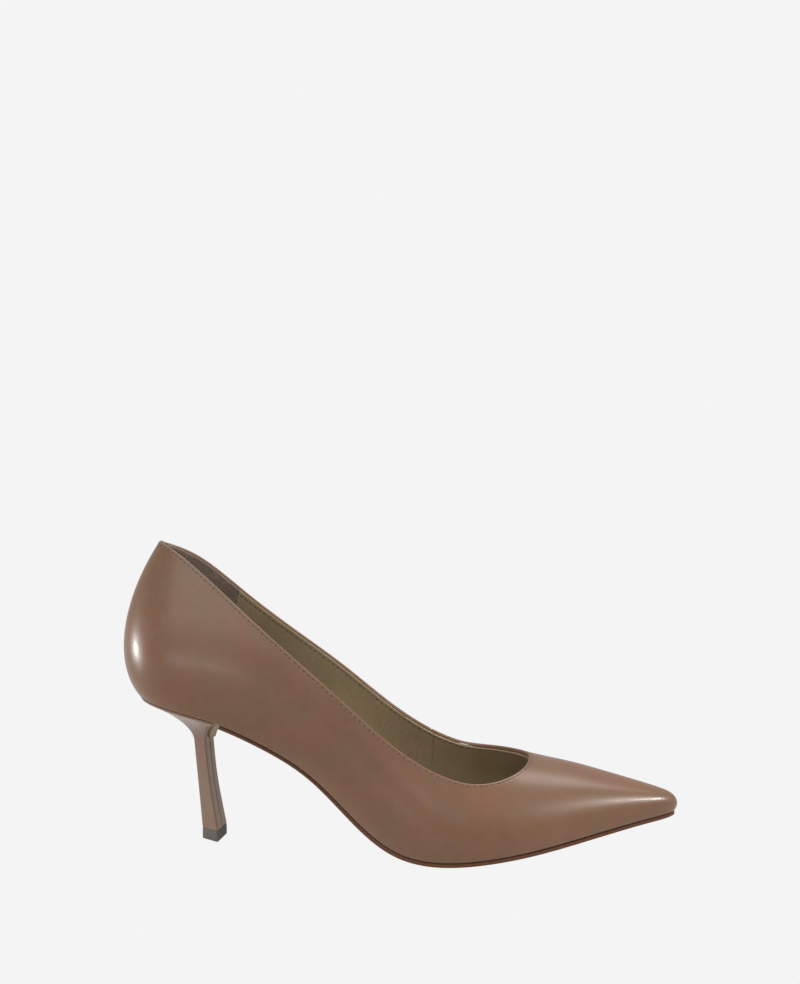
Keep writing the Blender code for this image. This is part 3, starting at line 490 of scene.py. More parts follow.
def below_topline(length, distance):
    """The place a distance below the topline."""
    girth, share, _, up = topline_frame(length)
    return walk(girth, share, -up * distance)


def wall_limit(distance):
    """The share at which a wall stops a distance below the topline, and the throat's front there."""
    lateral = np.linspace(0, LATERAL_LENGTH, 700)
    medial = np.linspace(TOPLINE_LENGTH, LATERAL_LENGTH, 700)
    sides = []
    for lengths in (lateral, medial):
        girth, share = below_topline(lengths, distance)
        station = np.where(girth < LAST_STATION, girth, GIRTH - girth)
        station[0] = 0
        sides.append((np.maximum.accumulate(station), np.minimum(share, 1)))
    front = max(sides[0][0][-1], sides[1][0][-1])

    def limit(girth):
        station, side = station_and_side(girth)
        shares = [np.interp(station, *one) for one in sides]
        return np.where(station >= front, 1.0, np.where(side < 0, *shares))

    return limit, front


def seam_length(girth):
    """The length along the topline at which a seam at that girth meets it, on the medial side."""
    return LATERAL_LENGTH + float(np.interp(girth, MEDIAL_HALF[0], MEDIAL_HALF[2]))


SEAM_ROUND = 0.75
SEAM_DEPTH = 0.55


def seam_roll(distance):
    """How far the leather rolls inwards at a distance from a seam."""
    near = np.clip(1 - np.asarray(distance, float) / SEAM_ROUND, 0, 1)
    return SEAM_DEPTH * (1 - np.sqrt(1 - near**2))


# ---- walls of leather

WALL_SPACING = 0.09
PLEAT_HEIGHT = 0.3
PLEAT_REACH = 6.0
STATION_LENGTH = 17.0
STITCH_PITCH = 2.6
BEAD_SIDES = 8
BEAD_RINGS = 7
BEAD_FLATNESS = 0.75
BEAD_END = 0.02


def wall_places(start, end, front):
    """The places around the girth of a wall's columns, closer at the throat and at its two ends."""
    gaps = np.array([1.2, 1.0, 0.8, 0.62, 0.46, 0.33, 0.23, 0.15, 0.09, 0.05, 0.02, 0.007])
    stations = np.concatenate([
        np.arange(0, front - 1.25, WALL_SPACING),
        front - gaps,
        front + np.array([0, 0.03, 0.07]),
        np.linspace(front + 0.12, LAST_STATION, 56),
    ])
    places = np.unique(np.round(np.concatenate([stations, GIRTH - stations]), 6))
    places = np.concatenate([places, places[1:] + GIRTH])
    inner = places[(places > start + 0.06) & (places < end - 0.06)]
    ends = np.array([0, 0.006, 0.014, 0.026, 0.042])
    return np.concatenate([start + ends, inner, (end - ends)[::-1]])


def pleats(girth, height):
    """The faint gathers of the leather above the feather line, round the heel and the waist."""
    station, side = station_and_side(girth)
    slant = station * 9.0 + height * 0.55
    waves = np.sin(slant * 2.1 + 1.3) * 0.5 + np.sin(slant * 3.7) * 0.35 + np.sin(slant * 6.1 + 0.6) * 0.2
    place = bump(station, 3.6, 1.5) + 0.5 * bump(station, 7.6, 0.9)
    fade = np.exp(-((height / PLEAT_REACH) ** 2)) * smooth_step(height, 0.0, 2.0)
    return PLEAT_HEIGHT * waves * place * fade


def wall(name, span, top, depth, rows, margin, material, slot, replaced, seam=True, relief=None):
    """A wall of the shoe from its lasting margin, under the foot, up to a limit below the topline."""
    start, end = span
    limit, front = top
    places = wall_places(start, end, front)
    grid = []
    limits = limit(places)
    around = np.minimum(places - start, end - places) * STATION_LENGTH
    for girth, share, from_seam in zip(places, limits, around):
        shares = np.linspace(0, 1, rows) ** 1.08 * share
        girths = np.full(rows, girth)
        points = outer_point(girths, shares)
        heights = np.concatenate([[0], np.cumsum(np.linalg.norm(np.diff(points, axis=0), axis=1))])
        layer = depth(girths, heights[-1] - heights)
        if seam:
            layer = layer + seam_roll(from_seam)
        if relief is not None:
            layer = layer + relief(girths, heights)
        column = layer_point(girths, shares, layer)
        station, side = station_and_side(girth)
        under = []
        for inset in (MARGIN_WIDTH, MARGIN_WIDTH / 2, float(layer[0]) + 0.6):
            x, width = feather_inset(station, inset)
            under.append(foot_point(x, centre_y(x) + side * width, margin))
        grid.append(np.vstack([under, column[1:]]))
    return add_sheet(name, np.array(grid), material, slot, replaced)


def edge_roll(name, first, last, material):
    """The folded edge of the upper: it runs along the topline, with the channel that its stitches lie in.

    Its profile is a closed line of places, each a distance below the topline and a depth in the wall.
    """
    outside = (
        (2.9, 0.02), (2.75, -0.004), (2.3, -0.006), (1.85, 0.0), (1.62, 0.03), (1.4, 0.05),
        (1.18, 0.03), (0.98, -0.002),
    )
    angles = np.linspace(0.25, math.pi - 0.05, 12)
    turn = [(0.8 - 0.8 * math.sin(angle), 0.9 - 0.9 * math.cos(angle)) for angle in angles]
    inside = ((1.05, 1.78), (1.1, 1.3), (1.6, 0.7), (2.9, 0.6))
    profile = [*outside, *turn, *inside]
    ends = np.array([0, 0.08, 0.2, 0.36, 0.56, 0.8])
    middle = np.arange(first + 1.2, last - 1.2, 0.75)
    lengths = np.concatenate([first + ends, middle, (last - ends)[::-1]])
    from_seam = np.minimum(lengths - first, last - lengths)
    girth, share, _, up = topline_frame(lengths)
    rings = []
    for distance, depth in profile:
        place = walk(girth, share, -up * distance)
        rings.append(layer_point(*place, depth + seam_roll(from_seam) * (depth < 1)))
    rings = np.array(rings).transpose(1, 0, 2)
    add_piece(name, *sweep(list(rings)), [material], "nude_leather")


def capsule(length, radius):
    """The points and faces of one stitch, lying along X: a flattened bead with rounded ends."""
    turns = np.arange(BEAD_SIDES) / BEAD_SIDES * 2 * math.pi
    rings = []
    for angle in np.linspace(-math.pi / 2, math.pi / 2, BEAD_RINGS):
        x = math.copysign(abs(math.sin(angle)) ** 0.8, angle) * length / 2
        size = radius * math.cos(angle) ** 0.6 if abs(angle) < 1.57 else BEAD_END
        y, z = size * np.cos(turns), size * BEAD_FLATNESS * np.sin(turns)
        rings.append(np.stack([np.full(BEAD_SIDES, x), y, z], axis=1))
    return sweep(rings)


def topline_stitches(name, below, depth, shift, length, radius, material, slot):
    """A row of stitches, or of dark beads of painted shade in the needle holes, that follows the topline a
    distance below it.
    """
    count = round(TOPLINE_LENGTH / STITCH_PITCH)
    lengths = (np.arange(count) + shift) * TOPLINE_LENGTH / count
    girth, share, ahead, up = topline_frame(lengths)
    place = walk(girth, share, -up * below)
    normal = face_normal(*place)
    points = layer_point(*place, np.full(count, depth))
    turns = np.stack([ahead, np.cross(normal, ahead), normal], axis=1)
    bead, bead_faces = capsule(length, radius)
    beads, faces = [], []
    for point, turn in zip(points, turns):
        faces += [tuple(i + len(beads) * len(bead) for i in face) for face in bead_faces]
        beads.append(point + bead @ turn)
    add_piece(name, np.vstack(beads), faces, [material], slot)


# ---- materials


class Nodes:
    """A short way to build a material's node tree."""

    def __init__(self, name):
        self.material = bpy.data.materials.new(name)
        self.material.use_nodes = True
        self.tree = self.material.node_tree
        self.shader = self.tree.nodes["Principled BSDF"]
        self.place = self.add("TexCoord").outputs["Object"]

    def add(self, kind, _settings=None, **inputs):
        node = self.tree.nodes.new("ShaderNode" + kind)
        for key, value in (_settings or {}).items():
            setattr(node, key, value)
        for key, value in inputs.items():
            self.put(node.inputs[key.replace("_", " ")], value)
        return node

    def put(self, socket, value):
        if isinstance(value, bpy.types.NodeSocket):
            self.tree.links.new(value, socket)
        else:
            socket.default_value = (*value, 1.0) if socket.type == "RGBA" and len(value) == 3 else value

    def set(self, **inputs):
        for key, value in inputs.items():
            self.put(self.shader.inputs[key.replace("_", " ")], value)

    def fill(self, node, *values):
        """Gives a node's inputs their values in order."""
        for socket, value in zip(node.inputs, values):
            self.put(socket, value)
        return node.outputs[0]

    def noise(self, scale, detail=3.0, rough=0.55, place=None, distortion=0.0):
        node = self.add("TexNoise", Scale=scale, Detail=detail, Roughness=rough, Distortion=distortion)
        self.put(node.inputs["Vector"], place or self.place)
        return node.outputs["Fac"]

    def cells(self, scale, feature="F1", place=None, output="Distance"):
        node = self.add("TexVoronoi", {"feature": feature}, Scale=scale, Vector=place or self.place)
        return node.outputs[output]

    def waves(self, direction, scale, distortion=0.0):
        settings = {"bands_direction": direction}
        node = self.add("TexWave", settings, Scale=scale, Distortion=distortion, Vector=self.place)
        return node.outputs["Fac"]

    def stretched(self, x, y, z):
        return self.add("Mapping", Vector=self.place, Scale=(x, y, z)).outputs["Vector"]

    def ramp(self, value, *stops):
        node = self.add("ValToRGB", Fac=value)
        elements = node.color_ramp.elements
        while len(elements) < len(stops):
            elements.new(0.5)
        for element, (position, color) in zip(elements, stops):
            element.position = position
            element.color = (*color, 1.0)
        return node.outputs["Color"]

    def mix(self, fac, a, b, blend="MIX"):
        node = self.add("Mix", {"data_type": "RGBA", "blend_type": blend})
        self.put(node.inputs[0], fac)
        self.put(node.inputs[6], a)
        self.put(node.inputs[7], b)
        return node.outputs[2]

    def math(self, operation, a, b=0.0, c=0.0):
        return self.fill(self.add("Math", {"operation": operation}), a, b, c)

    def spread(self, value, low, high):
        """A 0 to 1 value moved to a range."""
        return self.math("MULTIPLY_ADD", value, high - low, low)

    def relief(self, height, strength, distance):
        node = self.add("Bump", Strength=strength, Distance=distance, Height=height)
        return node.outputs["Normal"]


def leather(name, dark, middle, light, sheen):
    """Smooth calf leather with a pearly look: slow changes of tone, fine grain, a soft coat, and a painted
    pale pink sheen where the surface turns away from the view.
    """
    n = Nodes(name)
    tone = n.noise(24, 3, 0.5, distortion=0.4)
    color = n.ramp(tone, (0.3, dark), (0.5, middle), (0.72, light))
    mottle = n.noise(240, 4, 0.6)
    color = n.mix(0.32, color, n.ramp(mottle, (0.35, tuple(c * 0.66 for c in middle)), (0.7, light)))
    olive = (middle[0] * 0.84, middle[1] * 1.06, middle[2] * 0.98)
    rosy = (middle[0] * 1.12, middle[1] * 0.94, middle[2] * 1.02)
    hue = n.noise(46, 4, 0.6, distortion=0.6)
    color = n.mix(0.5, color, n.ramp(hue, (0.38, olive), (0.62, rosy)))
    # Painted sheen: the colour turns towards a pale pink where the surface turns away from the view.
    painted_sheen_mask = n.add("LayerWeight", Blend=0.42).outputs["Facing"]
    color = n.mix(n.math("MULTIPLY", painted_sheen_mask, 0.3), color, sheen)
    wobble = n.add("TexNoise", Scale=900, Detail=2, Vector=n.place).outputs["Color"]
    vector_sum = n.add("VectorMath", {"operation": "MULTIPLY_ADD"})
    grain = n.cells(1500, "SMOOTH_F1", n.fill(vector_sum, wobble, (0.0006,) * 3, n.place))
    pores = n.noise(5200, 2)
    height = n.math("ADD", n.math("MULTIPLY", grain, 0.7), n.math("MULTIPLY", pores, 0.3))
    n.set(
        Base_Color=color,
        Roughness=n.spread(n.noise(160, 3), 0.27, 0.4),
        Normal=n.relief(height, 0.26, 0.00009),
        Coat_Weight=0.22,
        Coat_Roughness=0.18,
        Sheen_Weight=0.12,
        Sheen_Roughness=0.4,
        Sheen_Tint=(1, 0.86, 0.8, 1),
        Specular_IOR_Level=0.5,
    )
    return n.material


def lining_leather(name, dark, light):
    """Thin, matt lining leather with fine pores."""
    n = Nodes(name)
    color = n.ramp(n.noise(38, 4), (0.3, dark), (0.7, light))
    pores = n.cells(2300)
    specks = n.ramp(n.noise(900, 3), (0.35, tuple(c * 0.75 for c in dark)), (0.65, light))
    color = n.mix(0.3, color, specks)
    height = n.math("ADD", n.math("MULTIPLY", pores, 0.6), n.noise(700, 4))
    n.set(
        Base_Color=color,
        Roughness=n.spread(n.noise(220, 3), 0.5, 0.68),
        Normal=n.relief(height, 0.22, 0.00012),
        Sheen_Weight=0.1,
    )
    return n.material


def suede(name):
    """Brushed suede: a short matted nap with darker and lighter patches."""
    n = Nodes(name)
    nap = n.noise(1500, 6, 0.75)
    patches = n.noise(130, 5, 0.7, distortion=0.8)
    dark, middle, light = (0.17, 0.118, 0.085), (0.26, 0.19, 0.145), (0.37, 0.285, 0.225)
    color = n.ramp(patches, (0.3, dark), (0.55, middle), (0.75, light))
    color = n.mix(0.45, color, n.ramp(nap, (0.35, (0.1, 0.07, 0.05)), (0.7, (0.46, 0.36, 0.28))))
    n.set(
        Base_Color=color,
        Roughness=n.spread(nap, 0.88, 1),
        Normal=n.relief(n.math("ADD", nap, n.math("MULTIPLY", patches, 0.6)), 0.7, 0.0005),
        Sheen_Weight=0.35,
        Sheen_Roughness=0.5,
        Specular_IOR_Level=0.2,
    )
    return n.material


def ink(name, dark, light, streak):
    """Stained and waxed sole edge, with streaks that run along it; with darker colours it is also the
    painted shade line along the top of the edge.
    """
    n = Nodes(name)
    streaks = n.noise(streak, 5, 0.65, n.stretched(1, 1, 9))
    color = n.ramp(streaks, (0.3, dark), (0.7, light))
    n.set(
        Base_Color=color,
        Roughness=n.spread(streaks, 0.3, 0.5),
        Normal=n.relief(streaks, 0.25, 0.0001),
        Specular_IOR_Level=0.3,
        Coat_Weight=0.1,
        Coat_Roughness=0.3,
    )
    return n.material


def sole_leather(name):
    """The buffed grain of a leather sole, beige, with fine brush marks and a few scuffs."""
    n = Nodes(name)
    tone = n.noise(30, 4)
    color = n.ramp(tone, (0.3, (0.36, 0.25, 0.15)), (0.7, (0.5, 0.37, 0.24)))
    brush = n.noise(900, 5, 0.6, n.stretched(0.12, 1, 1))
    color = n.mix(0.25, color, n.ramp(brush, (0.35, (0.26, 0.17, 0.1)), (0.65, (0.6, 0.46, 0.31))))
    scuffs = n.noise(60, 8, 0.75, n.stretched(0.5, 1.4, 1), 1.2)
    marks = n.ramp(scuffs, (0.62, (0, 0, 0)), (0.7, (0.4, 0.4, 0.4)))
    color = n.mix(marks, color, (0.2, 0.135, 0.085))
    n.set(
        Base_Color=color,
        Roughness=n.spread(brush, 0.42, 0.62),
        Normal=n.relief(n.math("ADD", brush, n.math("MULTIPLY", scuffs, 0.5)), 0.3, 0.00015),
    )
    return n.material


def speckled(name, dark, light, scale, rough, strength, distance, metallic=0):
    """Rubber, board, foam or cast plastic: one noise for colour, roughness and relief."""
    n = Nodes(name)
    fine = n.noise(scale, 5, 0.65)
    broad = n.noise(scale / 12, 3)
    stops = (0.35, dark), (0.65, light)
    n.set(
        Base_Color=n.mix(0.5, n.ramp(fine, *stops), n.ramp(broad, *stops)),
        Roughness=n.spread(fine, *rough),
        Normal=n.relief(fine, strength, distance),
        Metallic=metallic,
    )
    return n.material


def cork(name):
    """Pressed cork: grains of different tones, with pits between them."""
    n = Nodes(name)
    grain = n.cells(420, output="Color")
    tone = n.ramp(n.noise(300, 4), (0.3, (0.2, 0.11, 0.05)), (0.7, (0.5, 0.32, 0.17)))
    color = n.mix(0.5, tone, grain, "SOFT_LIGHT")
    n.set(Base_Color=color, Roughness=0.92, Normal=n.relief(n.cells(420), 0.6, 0.0006))
    return n.material


def woven(name):
    """Cotton tape in a plain weave."""
    n = Nodes(name)
    weave = n.math("MAXIMUM", n.waves("X", 700), n.waves("Z", 700))
    color = n.ramp(weave, (0.2, (0.45, 0.42, 0.36)), (0.8, (0.76, 0.73, 0.66)))
    n.set(Base_Color=color, Roughness=n.spread(weave, 0.8, 0.95), Normal=n.relief(weave, 0.5, 0.0002))
    return n.material


def thread(name, dark, light):
    """Twisted sewing thread; with dark colours it is also the painted shade in the needle holes."""
    n = Nodes(name)
    twist = n.waves("DIAGONAL", 1500, 1)
    n.set(
        Base_Color=n.ramp(twist, (0.2, dark), (0.8, light)),
        Roughness=n.spread(twist, 0.5, 0.7),
        Normal=n.relief(twist, 0.5, 0.00008),
        Sheen_Weight=0.2,
    )
    return n.material


UPPER_LEATHER = leather(
    "nude pearl leather",
    dark=(0.155, 0.066, 0.032),
    middle=(0.181, 0.084, 0.04),
    light=(0.214, 0.112, 0.053),
    sheen=(0.34, 0.19, 0.125),
)
# Paler than the upper's leather: partly the cover's own tone, partly painted light standing in for the light
# on the stem.
LIGHTENED_HEEL_LEATHER = leather(
    "heel cover leather",
    dark=(0.175, 0.09, 0.054),
    middle=(0.21, 0.118, 0.076),
    light=(0.25, 0.146, 0.098),
    sheen=(0.42, 0.29, 0.22),
)
LINING = lining_leather("beige lining leather", (0.3, 0.23, 0.128), (0.4, 0.31, 0.19))
SOCK = lining_leather("sock lining leather", (0.38, 0.3, 0.2), (0.48, 0.39, 0.27))
SUEDE = suede("suede heel grip")
EDGE_INK = ink("sole edge ink", (0.075, 0.024, 0.008), (0.165, 0.062, 0.02), 420)
# Painted shade: the dark line along the top of the sole edge, where the upper meets the sole.
EDGE_SHADE_LINE = ink("painted shade line on the sole edge", (0.03, 0.009, 0.004), (0.052, 0.016, 0.006), 500)
SOLE = sole_leather("buffed sole leather")
LIFT = speckled(
    "top lift rubber", (0.075, 0.062, 0.052), (0.12, 0.1, 0.086),
    scale=1600, rough=(0.55, 0.72), strength=0.25, distance=0.0001,
)
THREAD = thread("nude thread", (0.13, 0.066, 0.04), (0.24, 0.135, 0.09))
DARK_THREAD = thread("brown thread", (0.035, 0.022, 0.014), (0.09, 0.06, 0.04))
# Painted shade: dark beads in the needle holes stand in for the shade inside them.
NEEDLE_HOLE_SHADE = thread("needle hole shade", (0.022, 0.007, 0.004), (0.05, 0.018, 0.011))
BOARD = speckled(
    "stiffener fibreboard", (0.3, 0.2, 0.11), (0.52, 0.38, 0.23),
    scale=900, rough=(0.75, 0.95), strength=0.5, distance=0.0002,
)
FOAM = speckled(
    "latex foam", (0.6, 0.53, 0.4), (0.82, 0.76, 0.62),
    scale=1300, rough=(0.85, 1), strength=0.8, distance=0.0003,
)
PLASTIC = speckled(
    "heel block plastic", (0.5, 0.47, 0.41), (0.62, 0.59, 0.52),
    scale=700, rough=(0.35, 0.5), strength=0.1, distance=0.0001,
)
STEEL = speckled(
    "spring steel", (0.42, 0.42, 0.43), (0.6, 0.6, 0.61),
    scale=1100, rough=(0.25, 0.45), strength=0.12, distance=0.00005, metallic=1,
)
CORK = cork("cork filler")
TAPE = woven("topline tape")

# ---- the upper

UPPER_TOP = wall_limit(2.6)
LINING_TOP = wall_limit(0.6)
UPPER_ROWS = 40
LINING_ROWS = 30
SIDE_SEAM_LENGTH = seam_length(SIDE_SEAM)
EDGE_GAP = 0.12
STITCHES_BELOW = 1.4
LINING_STITCHES_BELOW = 2.0


def make_uppers():
    """The two leather panels, their folded edges and the rows of stitches."""

    def flush(girths, below):
        return 0 * below

    lateral = (BACK_SEAM_GAP / 3, SIDE_SEAM - SEAM_GAP / 2)
    medial = (SIDE_SEAM + SEAM_GAP / 2, GIRTH - BACK_SEAM_GAP / 3)
    for name, span, node in (
        ("vamp_lateral_leather", lateral, "upper_vamp_lateral"),
        ("medial_quarter_leather", medial, "upper_medial_quarter"),
    ):
        panel = wall(
            name, span, UPPER_TOP, flush, UPPER_ROWS, 0.0, UPPER_LEATHER, "nude_leather", (node,),
            relief=pleats,
        )
        solidify(panel, UPPER_THICKNESS)
    seam = SIDE_SEAM_LENGTH
    edge_roll("folded_edge_vamp_lateral", EDGE_GAP, seam - EDGE_GAP, UPPER_LEATHER)
    edge_roll("folded_edge_medial_quarter", seam + EDGE_GAP, TOPLINE_LENGTH - EDGE_GAP, UPPER_LEATHER)
    for name, below, depth, shift, length, radius, material, slot in (
        ("topline_stitching", STITCHES_BELOW, 0.1, 0.5, 1.9, 0.24, THREAD, "nude_leather"),
        ("topline_needle_holes", STITCHES_BELOW, 0.1, 0.0, 0.62, 0.29, NEEDLE_HOLE_SHADE, "nude_leather"),
        ("lining_stitching", LINING_STITCHES_BELOW, 2.5, 0.5, 2.1, 0.24, DARK_THREAD, "beige_lining"),
    ):
        topline_stitches(name, below, depth, shift, length, radius, material, slot)


def make_linings():
    def hug(girths, below):
        """The lining closes up to the folded edge near the topline."""
        open_wall = station_and_side(girths)[0] < LINING_TOP[1]
        return LINING_DEPTH - 0.28 * (1 - smooth_step(below, 0.8, 3.4)) * open_wall

    leather_look = (LINING, "beige_lining", LINING_THICKNESS)
    suede_look = (SUEDE, "suede_grip", GRIP_THICKNESS)
    medial_seam, medial_grip = GIRTH - LINING_SEAM, GIRTH - GRIP_SEAM
    for name, first, last, node, look in (
        ("vamp_lining_leather", LINING_SEAM, medial_seam, "vamp_lining", leather_look),
        ("quarter_lining_leather_lateral", GRIP_SEAM, LINING_SEAM, "quarter_lining_lateral", leather_look),
        ("quarter_lining_leather_medial", medial_seam, medial_grip, "quarter_lining_medial", leather_look),
        ("suede_heel_grip", medial_grip, GIRTH + GRIP_SEAM, "heel_grip", suede_look),
    ):
        material, slot, thickness = look
        span = (first + SEAM_GAP / 4, last - SEAM_GAP / 4)
        panel = wall(
            name, span, LINING_TOP, hug, LINING_ROWS, LINING_MARGIN_HEIGHT, material, slot, (node,),
            seam=False,
        )
        solidify(panel, thickness)


# ---- the bottom

HEEL_PAD_SPAN = (-22, 27)
HEEL_PAD_SLOPE = (30, 48)
HEEL_PAD_HALF_WIDTH = 13.0
FOREFOOT_PAD_SPAN = (82, 130)
FOREFOOT_PAD_RISE = (68, 80)
FOREFOOT_PAD_FALL = (132, 146)
FOREFOOT_PAD_HALF_WIDTH = 18.0
PAD_SIDES = 64
PAD_SQUARENESS = 2.6
PAD_SKIVE = 0.15


def pad_lift(x):
    """How far the two foam pads raise the sock lining at x."""
    heel = (HEEL_PAD_THICKNESS + LAYER_GAP) * (1 - smooth_step(x, *HEEL_PAD_SLOPE))
    forefoot = smooth_step(x, *FOREFOOT_PAD_RISE) - smooth_step(x, *FOREFOOT_PAD_FALL)
    return heel + (FOREFOOT_PAD_THICKNESS + LAYER_GAP) * forefoot


def make_sock():
    """The sock lining, which turns up a little where it meets the walls."""
    stations = np.concatenate([
        np.linspace(0.06, 1, 14),
        np.arange(1.15, 14.3, 0.15),
        np.linspace(14.35, 14.9, 6),
    ])
    across = np.sin(np.linspace(-math.pi / 2, math.pi / 2, 31))
    grid = []
    for station in stations:
        x, width = feather_inset(station, INSOLE_INSET - LAYER_GAP)
        y = centre_y(x) + across * width
        dish = 0.55 * abs(across) ** 8 - 0.25 * (1 - across**2) * bump(x, 100, 40)
        grid.append(foot_point(np.full(len(across), x), y, SOCK_HEIGHT + pad_lift(float(x)) + dish))
    grid = np.array(grid)[:, ::-1]
    sock = add_sheet("sock_lining_leather", grid, SOCK, "beige_lining", ("sock_lining",))
    solidify(sock, SOCK_THICKNESS)


def make_pad(name, node, span, half_width, thickness):
    """A crowned foam pad with a rounded outline and skived edges."""
    first_x, last_x = span
    middle, reach = (first_x + last_x) / 2, (last_x - first_x) / 2
    turns = np.linspace(0, 2 * math.pi, PAD_SIDES, endpoint=False)
    corner = 2 / PAD_SQUARENESS
    out_x = np.sign(np.cos(turns)) * abs(np.cos(turns)) ** corner
    out_y = np.sign(np.sin(turns)) * abs(np.sin(turns)) ** corner
    outline = [(0.5, 0.0), (0.97, 0.0), (1.0, PAD_SKIVE)]
    for share in (0.99, 0.96, 0.9, 0.8, 0.65, 0.45, 0.25, 0.08):
        outline.append((share, PAD_SKIVE + (thickness - PAD_SKIVE) * math.sqrt(1 - share**5)))
    rings = []
    for share, height in outline:
        x = middle + reach * share * out_x
        y = centre_y(x) + half_width * share * out_y
        rings.append(foot_point(x, y, SOCK_HEIGHT + 0 * x + height))
    pad = add_piece(name, *sweep(rings), [FOAM], "foam", (node,))


EDGE_WAIST = 1.2
EDGE_FOREPART = 1.5
EDGE_GROWTH = (40, 80)
CROWN = 2.2
CROWN_RISE = (40, 95)
CROWN_FALL = (130, 195)
SOLE_INSET = 0.1
SOLE_COLUMNS = 25
SOLE_REAR_STATION = 3.66


def sole_section(station):
    """The outsole's section: flat top, a dark line of painted shade under the upper, stained edge with a
    soft corner, and crowned bottom.
    """
    x, width = feather_inset(station, SOLE_INSET)
    side_x = float(x)
    edge = EDGE_WAIST + (EDGE_FOREPART - EDGE_WAIST) * float(smooth_step(side_x, *EDGE_GROWTH))
    crown = CROWN * float(smooth_step(side_x, *CROWN_RISE) * (1 - smooth_step(side_x, *CROWN_FALL)))
    across = np.sin(np.linspace(-math.pi / 2, math.pi / 2, SOLE_COLUMNS))
    inner = across * max(width - 0.35, 0.9 * width)
    top = [(y, 0.12) for y in across * width * 0.999]
    side = [
        (width, -0.28),
        (width + 0.02, -0.34),
        (width + 0.1, -0.3 - edge * 0.3),
        (width + 0.08, -edge * 0.75),
        (width - 0.06, -0.12 - edge),
    ]
    side = [(y if width > 0.6 else width, h) for y, h in side]
    bottom = [(y, -LAYER_GAP - edge - crown * (1 - a**2)) for a, y in zip(across, inner)]
    section = top + side + bottom[::-1] + [(-y, h) for y, h in side[::-1]]
    ys, heights = np.array(section).T
    points = foot_point(np.full(len(section), side_x), centre_y(side_x) + ys, heights)
    points[:, 2] = np.maximum(points[:, 2], 0.0)
    return points, (len(top), len(side), len(bottom))


def make_outsole():
    stations = np.concatenate([
        np.arange(SOLE_REAR_STATION, 15.0, 0.125),
        np.linspace(15.0, 15.8, 14)[:-1],
        LAST_STATION - 0.2 * np.linspace(1, 0, 12) ** 2,
    ])
    sections = [sole_section(station) for station in stations]
    top, side, bottom = sections[0][1]
    rings = [points for points, _ in sections]
    points, faces = sweep(rings)
    # line is the painted shade: the sole's top and the top band of its edge, under the upper.
    edge, line, grain = range(3)
    round_ring = [line] * (top + 1) + [edge] * (side - 2) + [grain] * (bottom + 1) + [edge] * (side - 2)
    round_ring += [line] * 2
    kinds = round_ring * (len(rings) - 1) + [grain, edge]
    materials = [EDGE_INK, EDGE_SHADE_LINE, SOLE]
    add_piece("leather_outsole", points, faces, materials, "sole", ("outsole",), kinds)


# The sole's tongue in side view (x, z): where it leaves the sole, its bend, and its end on the stem.
TONGUE_LINE = np.array([(11.3, 55.0), (0.9, 55.0), (0.15, 45.0)])
TONGUE_HALF_WIDTH = 5.0
TONGUE_TAPER = 0.97
TONGUE_FACE = 1.2
TONGUE_THICKNESS = 1.5


def tongue_point(share, y):
    """A point on the tongue's outer face: share is 0 under the sole and 1 at its end on the stem."""
    top, bend, foot = TONGUE_LINE
    x, z = curve(share, top, bend, foot)
    slope_x, slope_z = (1 - share) * (bend - top) + share * (foot - bend)
    length = math.hypot(slope_x, slope_z)
    turn = math.tan(HEEL_TURN) * y * share
    return x - slope_z / length * TONGUE_FACE - turn, y, z + slope_x / length * TONGUE_FACE


def make_tongue():
    """The end of the sole's leather, turned down over the breast of the heel."""
    grid = []
    for share in 1 - (1 - np.linspace(0, 1, 26)) ** 1.3:
        half = TONGUE_HALF_WIDTH * math.sqrt(1 - (TONGUE_TAPER * share) ** 4)
        grid.append([tongue_point(share, y) for y in np.linspace(half, -half, 13)])
    tongue = add_sheet("sole_tongue", np.array(grid), SOLE, "sole")
    solidify(tongue, -TONGUE_THICKNESS, soft_edge=0.3)


# ---- the heel

HEEL_RIM_STATION = 3.58
COVER_THICKNESS = 0.5
SEAM_GROOVE = 0.22
FLARE_DEPTH = 8.0
FLARE_SPREAD = 1.12

# The cover's rim under the seat, as (inset, height): its widest place, then how it turns in over the top.
COVER_RIM = ((0.6, -1.0), (0.4, -0.7), (0.2, -0.35), (0.1, -0.05), (0.3, 0.0), (0.8, -0.03), (2.2, -0.03))

# The top lift's side, as (height, inset).
LIFT_PROFILE = (
    (0.0, 0.55), (0.06, 0.3), (0.2, 0.1), (0.42, 0.0), (2.4, -0.02), (4.55, 0.0), (4.85, 0.06),
    (5.02, 0.25),
)


def rim_half(inset):
    """Half the heel's rim under the seat, which matches the stem's section place for place."""
    corner_x, corner_width = feather_inset(HEEL_RIM_STATION, inset)
    points = []
    for u in HEEL_PLACES:
        if u <= 4:
            points.append((float(corner_x), float(corner_width) * u / 4))
        else:
            station = HEEL_RIM_STATION * (1 - (u - 4) / 10)
            points.append([float(v) for v in feather_inset(station, inset)])
    return np.array(points)


def rim_ring(inset, height):
    def place(x, width, side):
        return foot_point(x, float(centre_y(x)) + side * width, height)

    return full_ring(rim_half(inset), place)


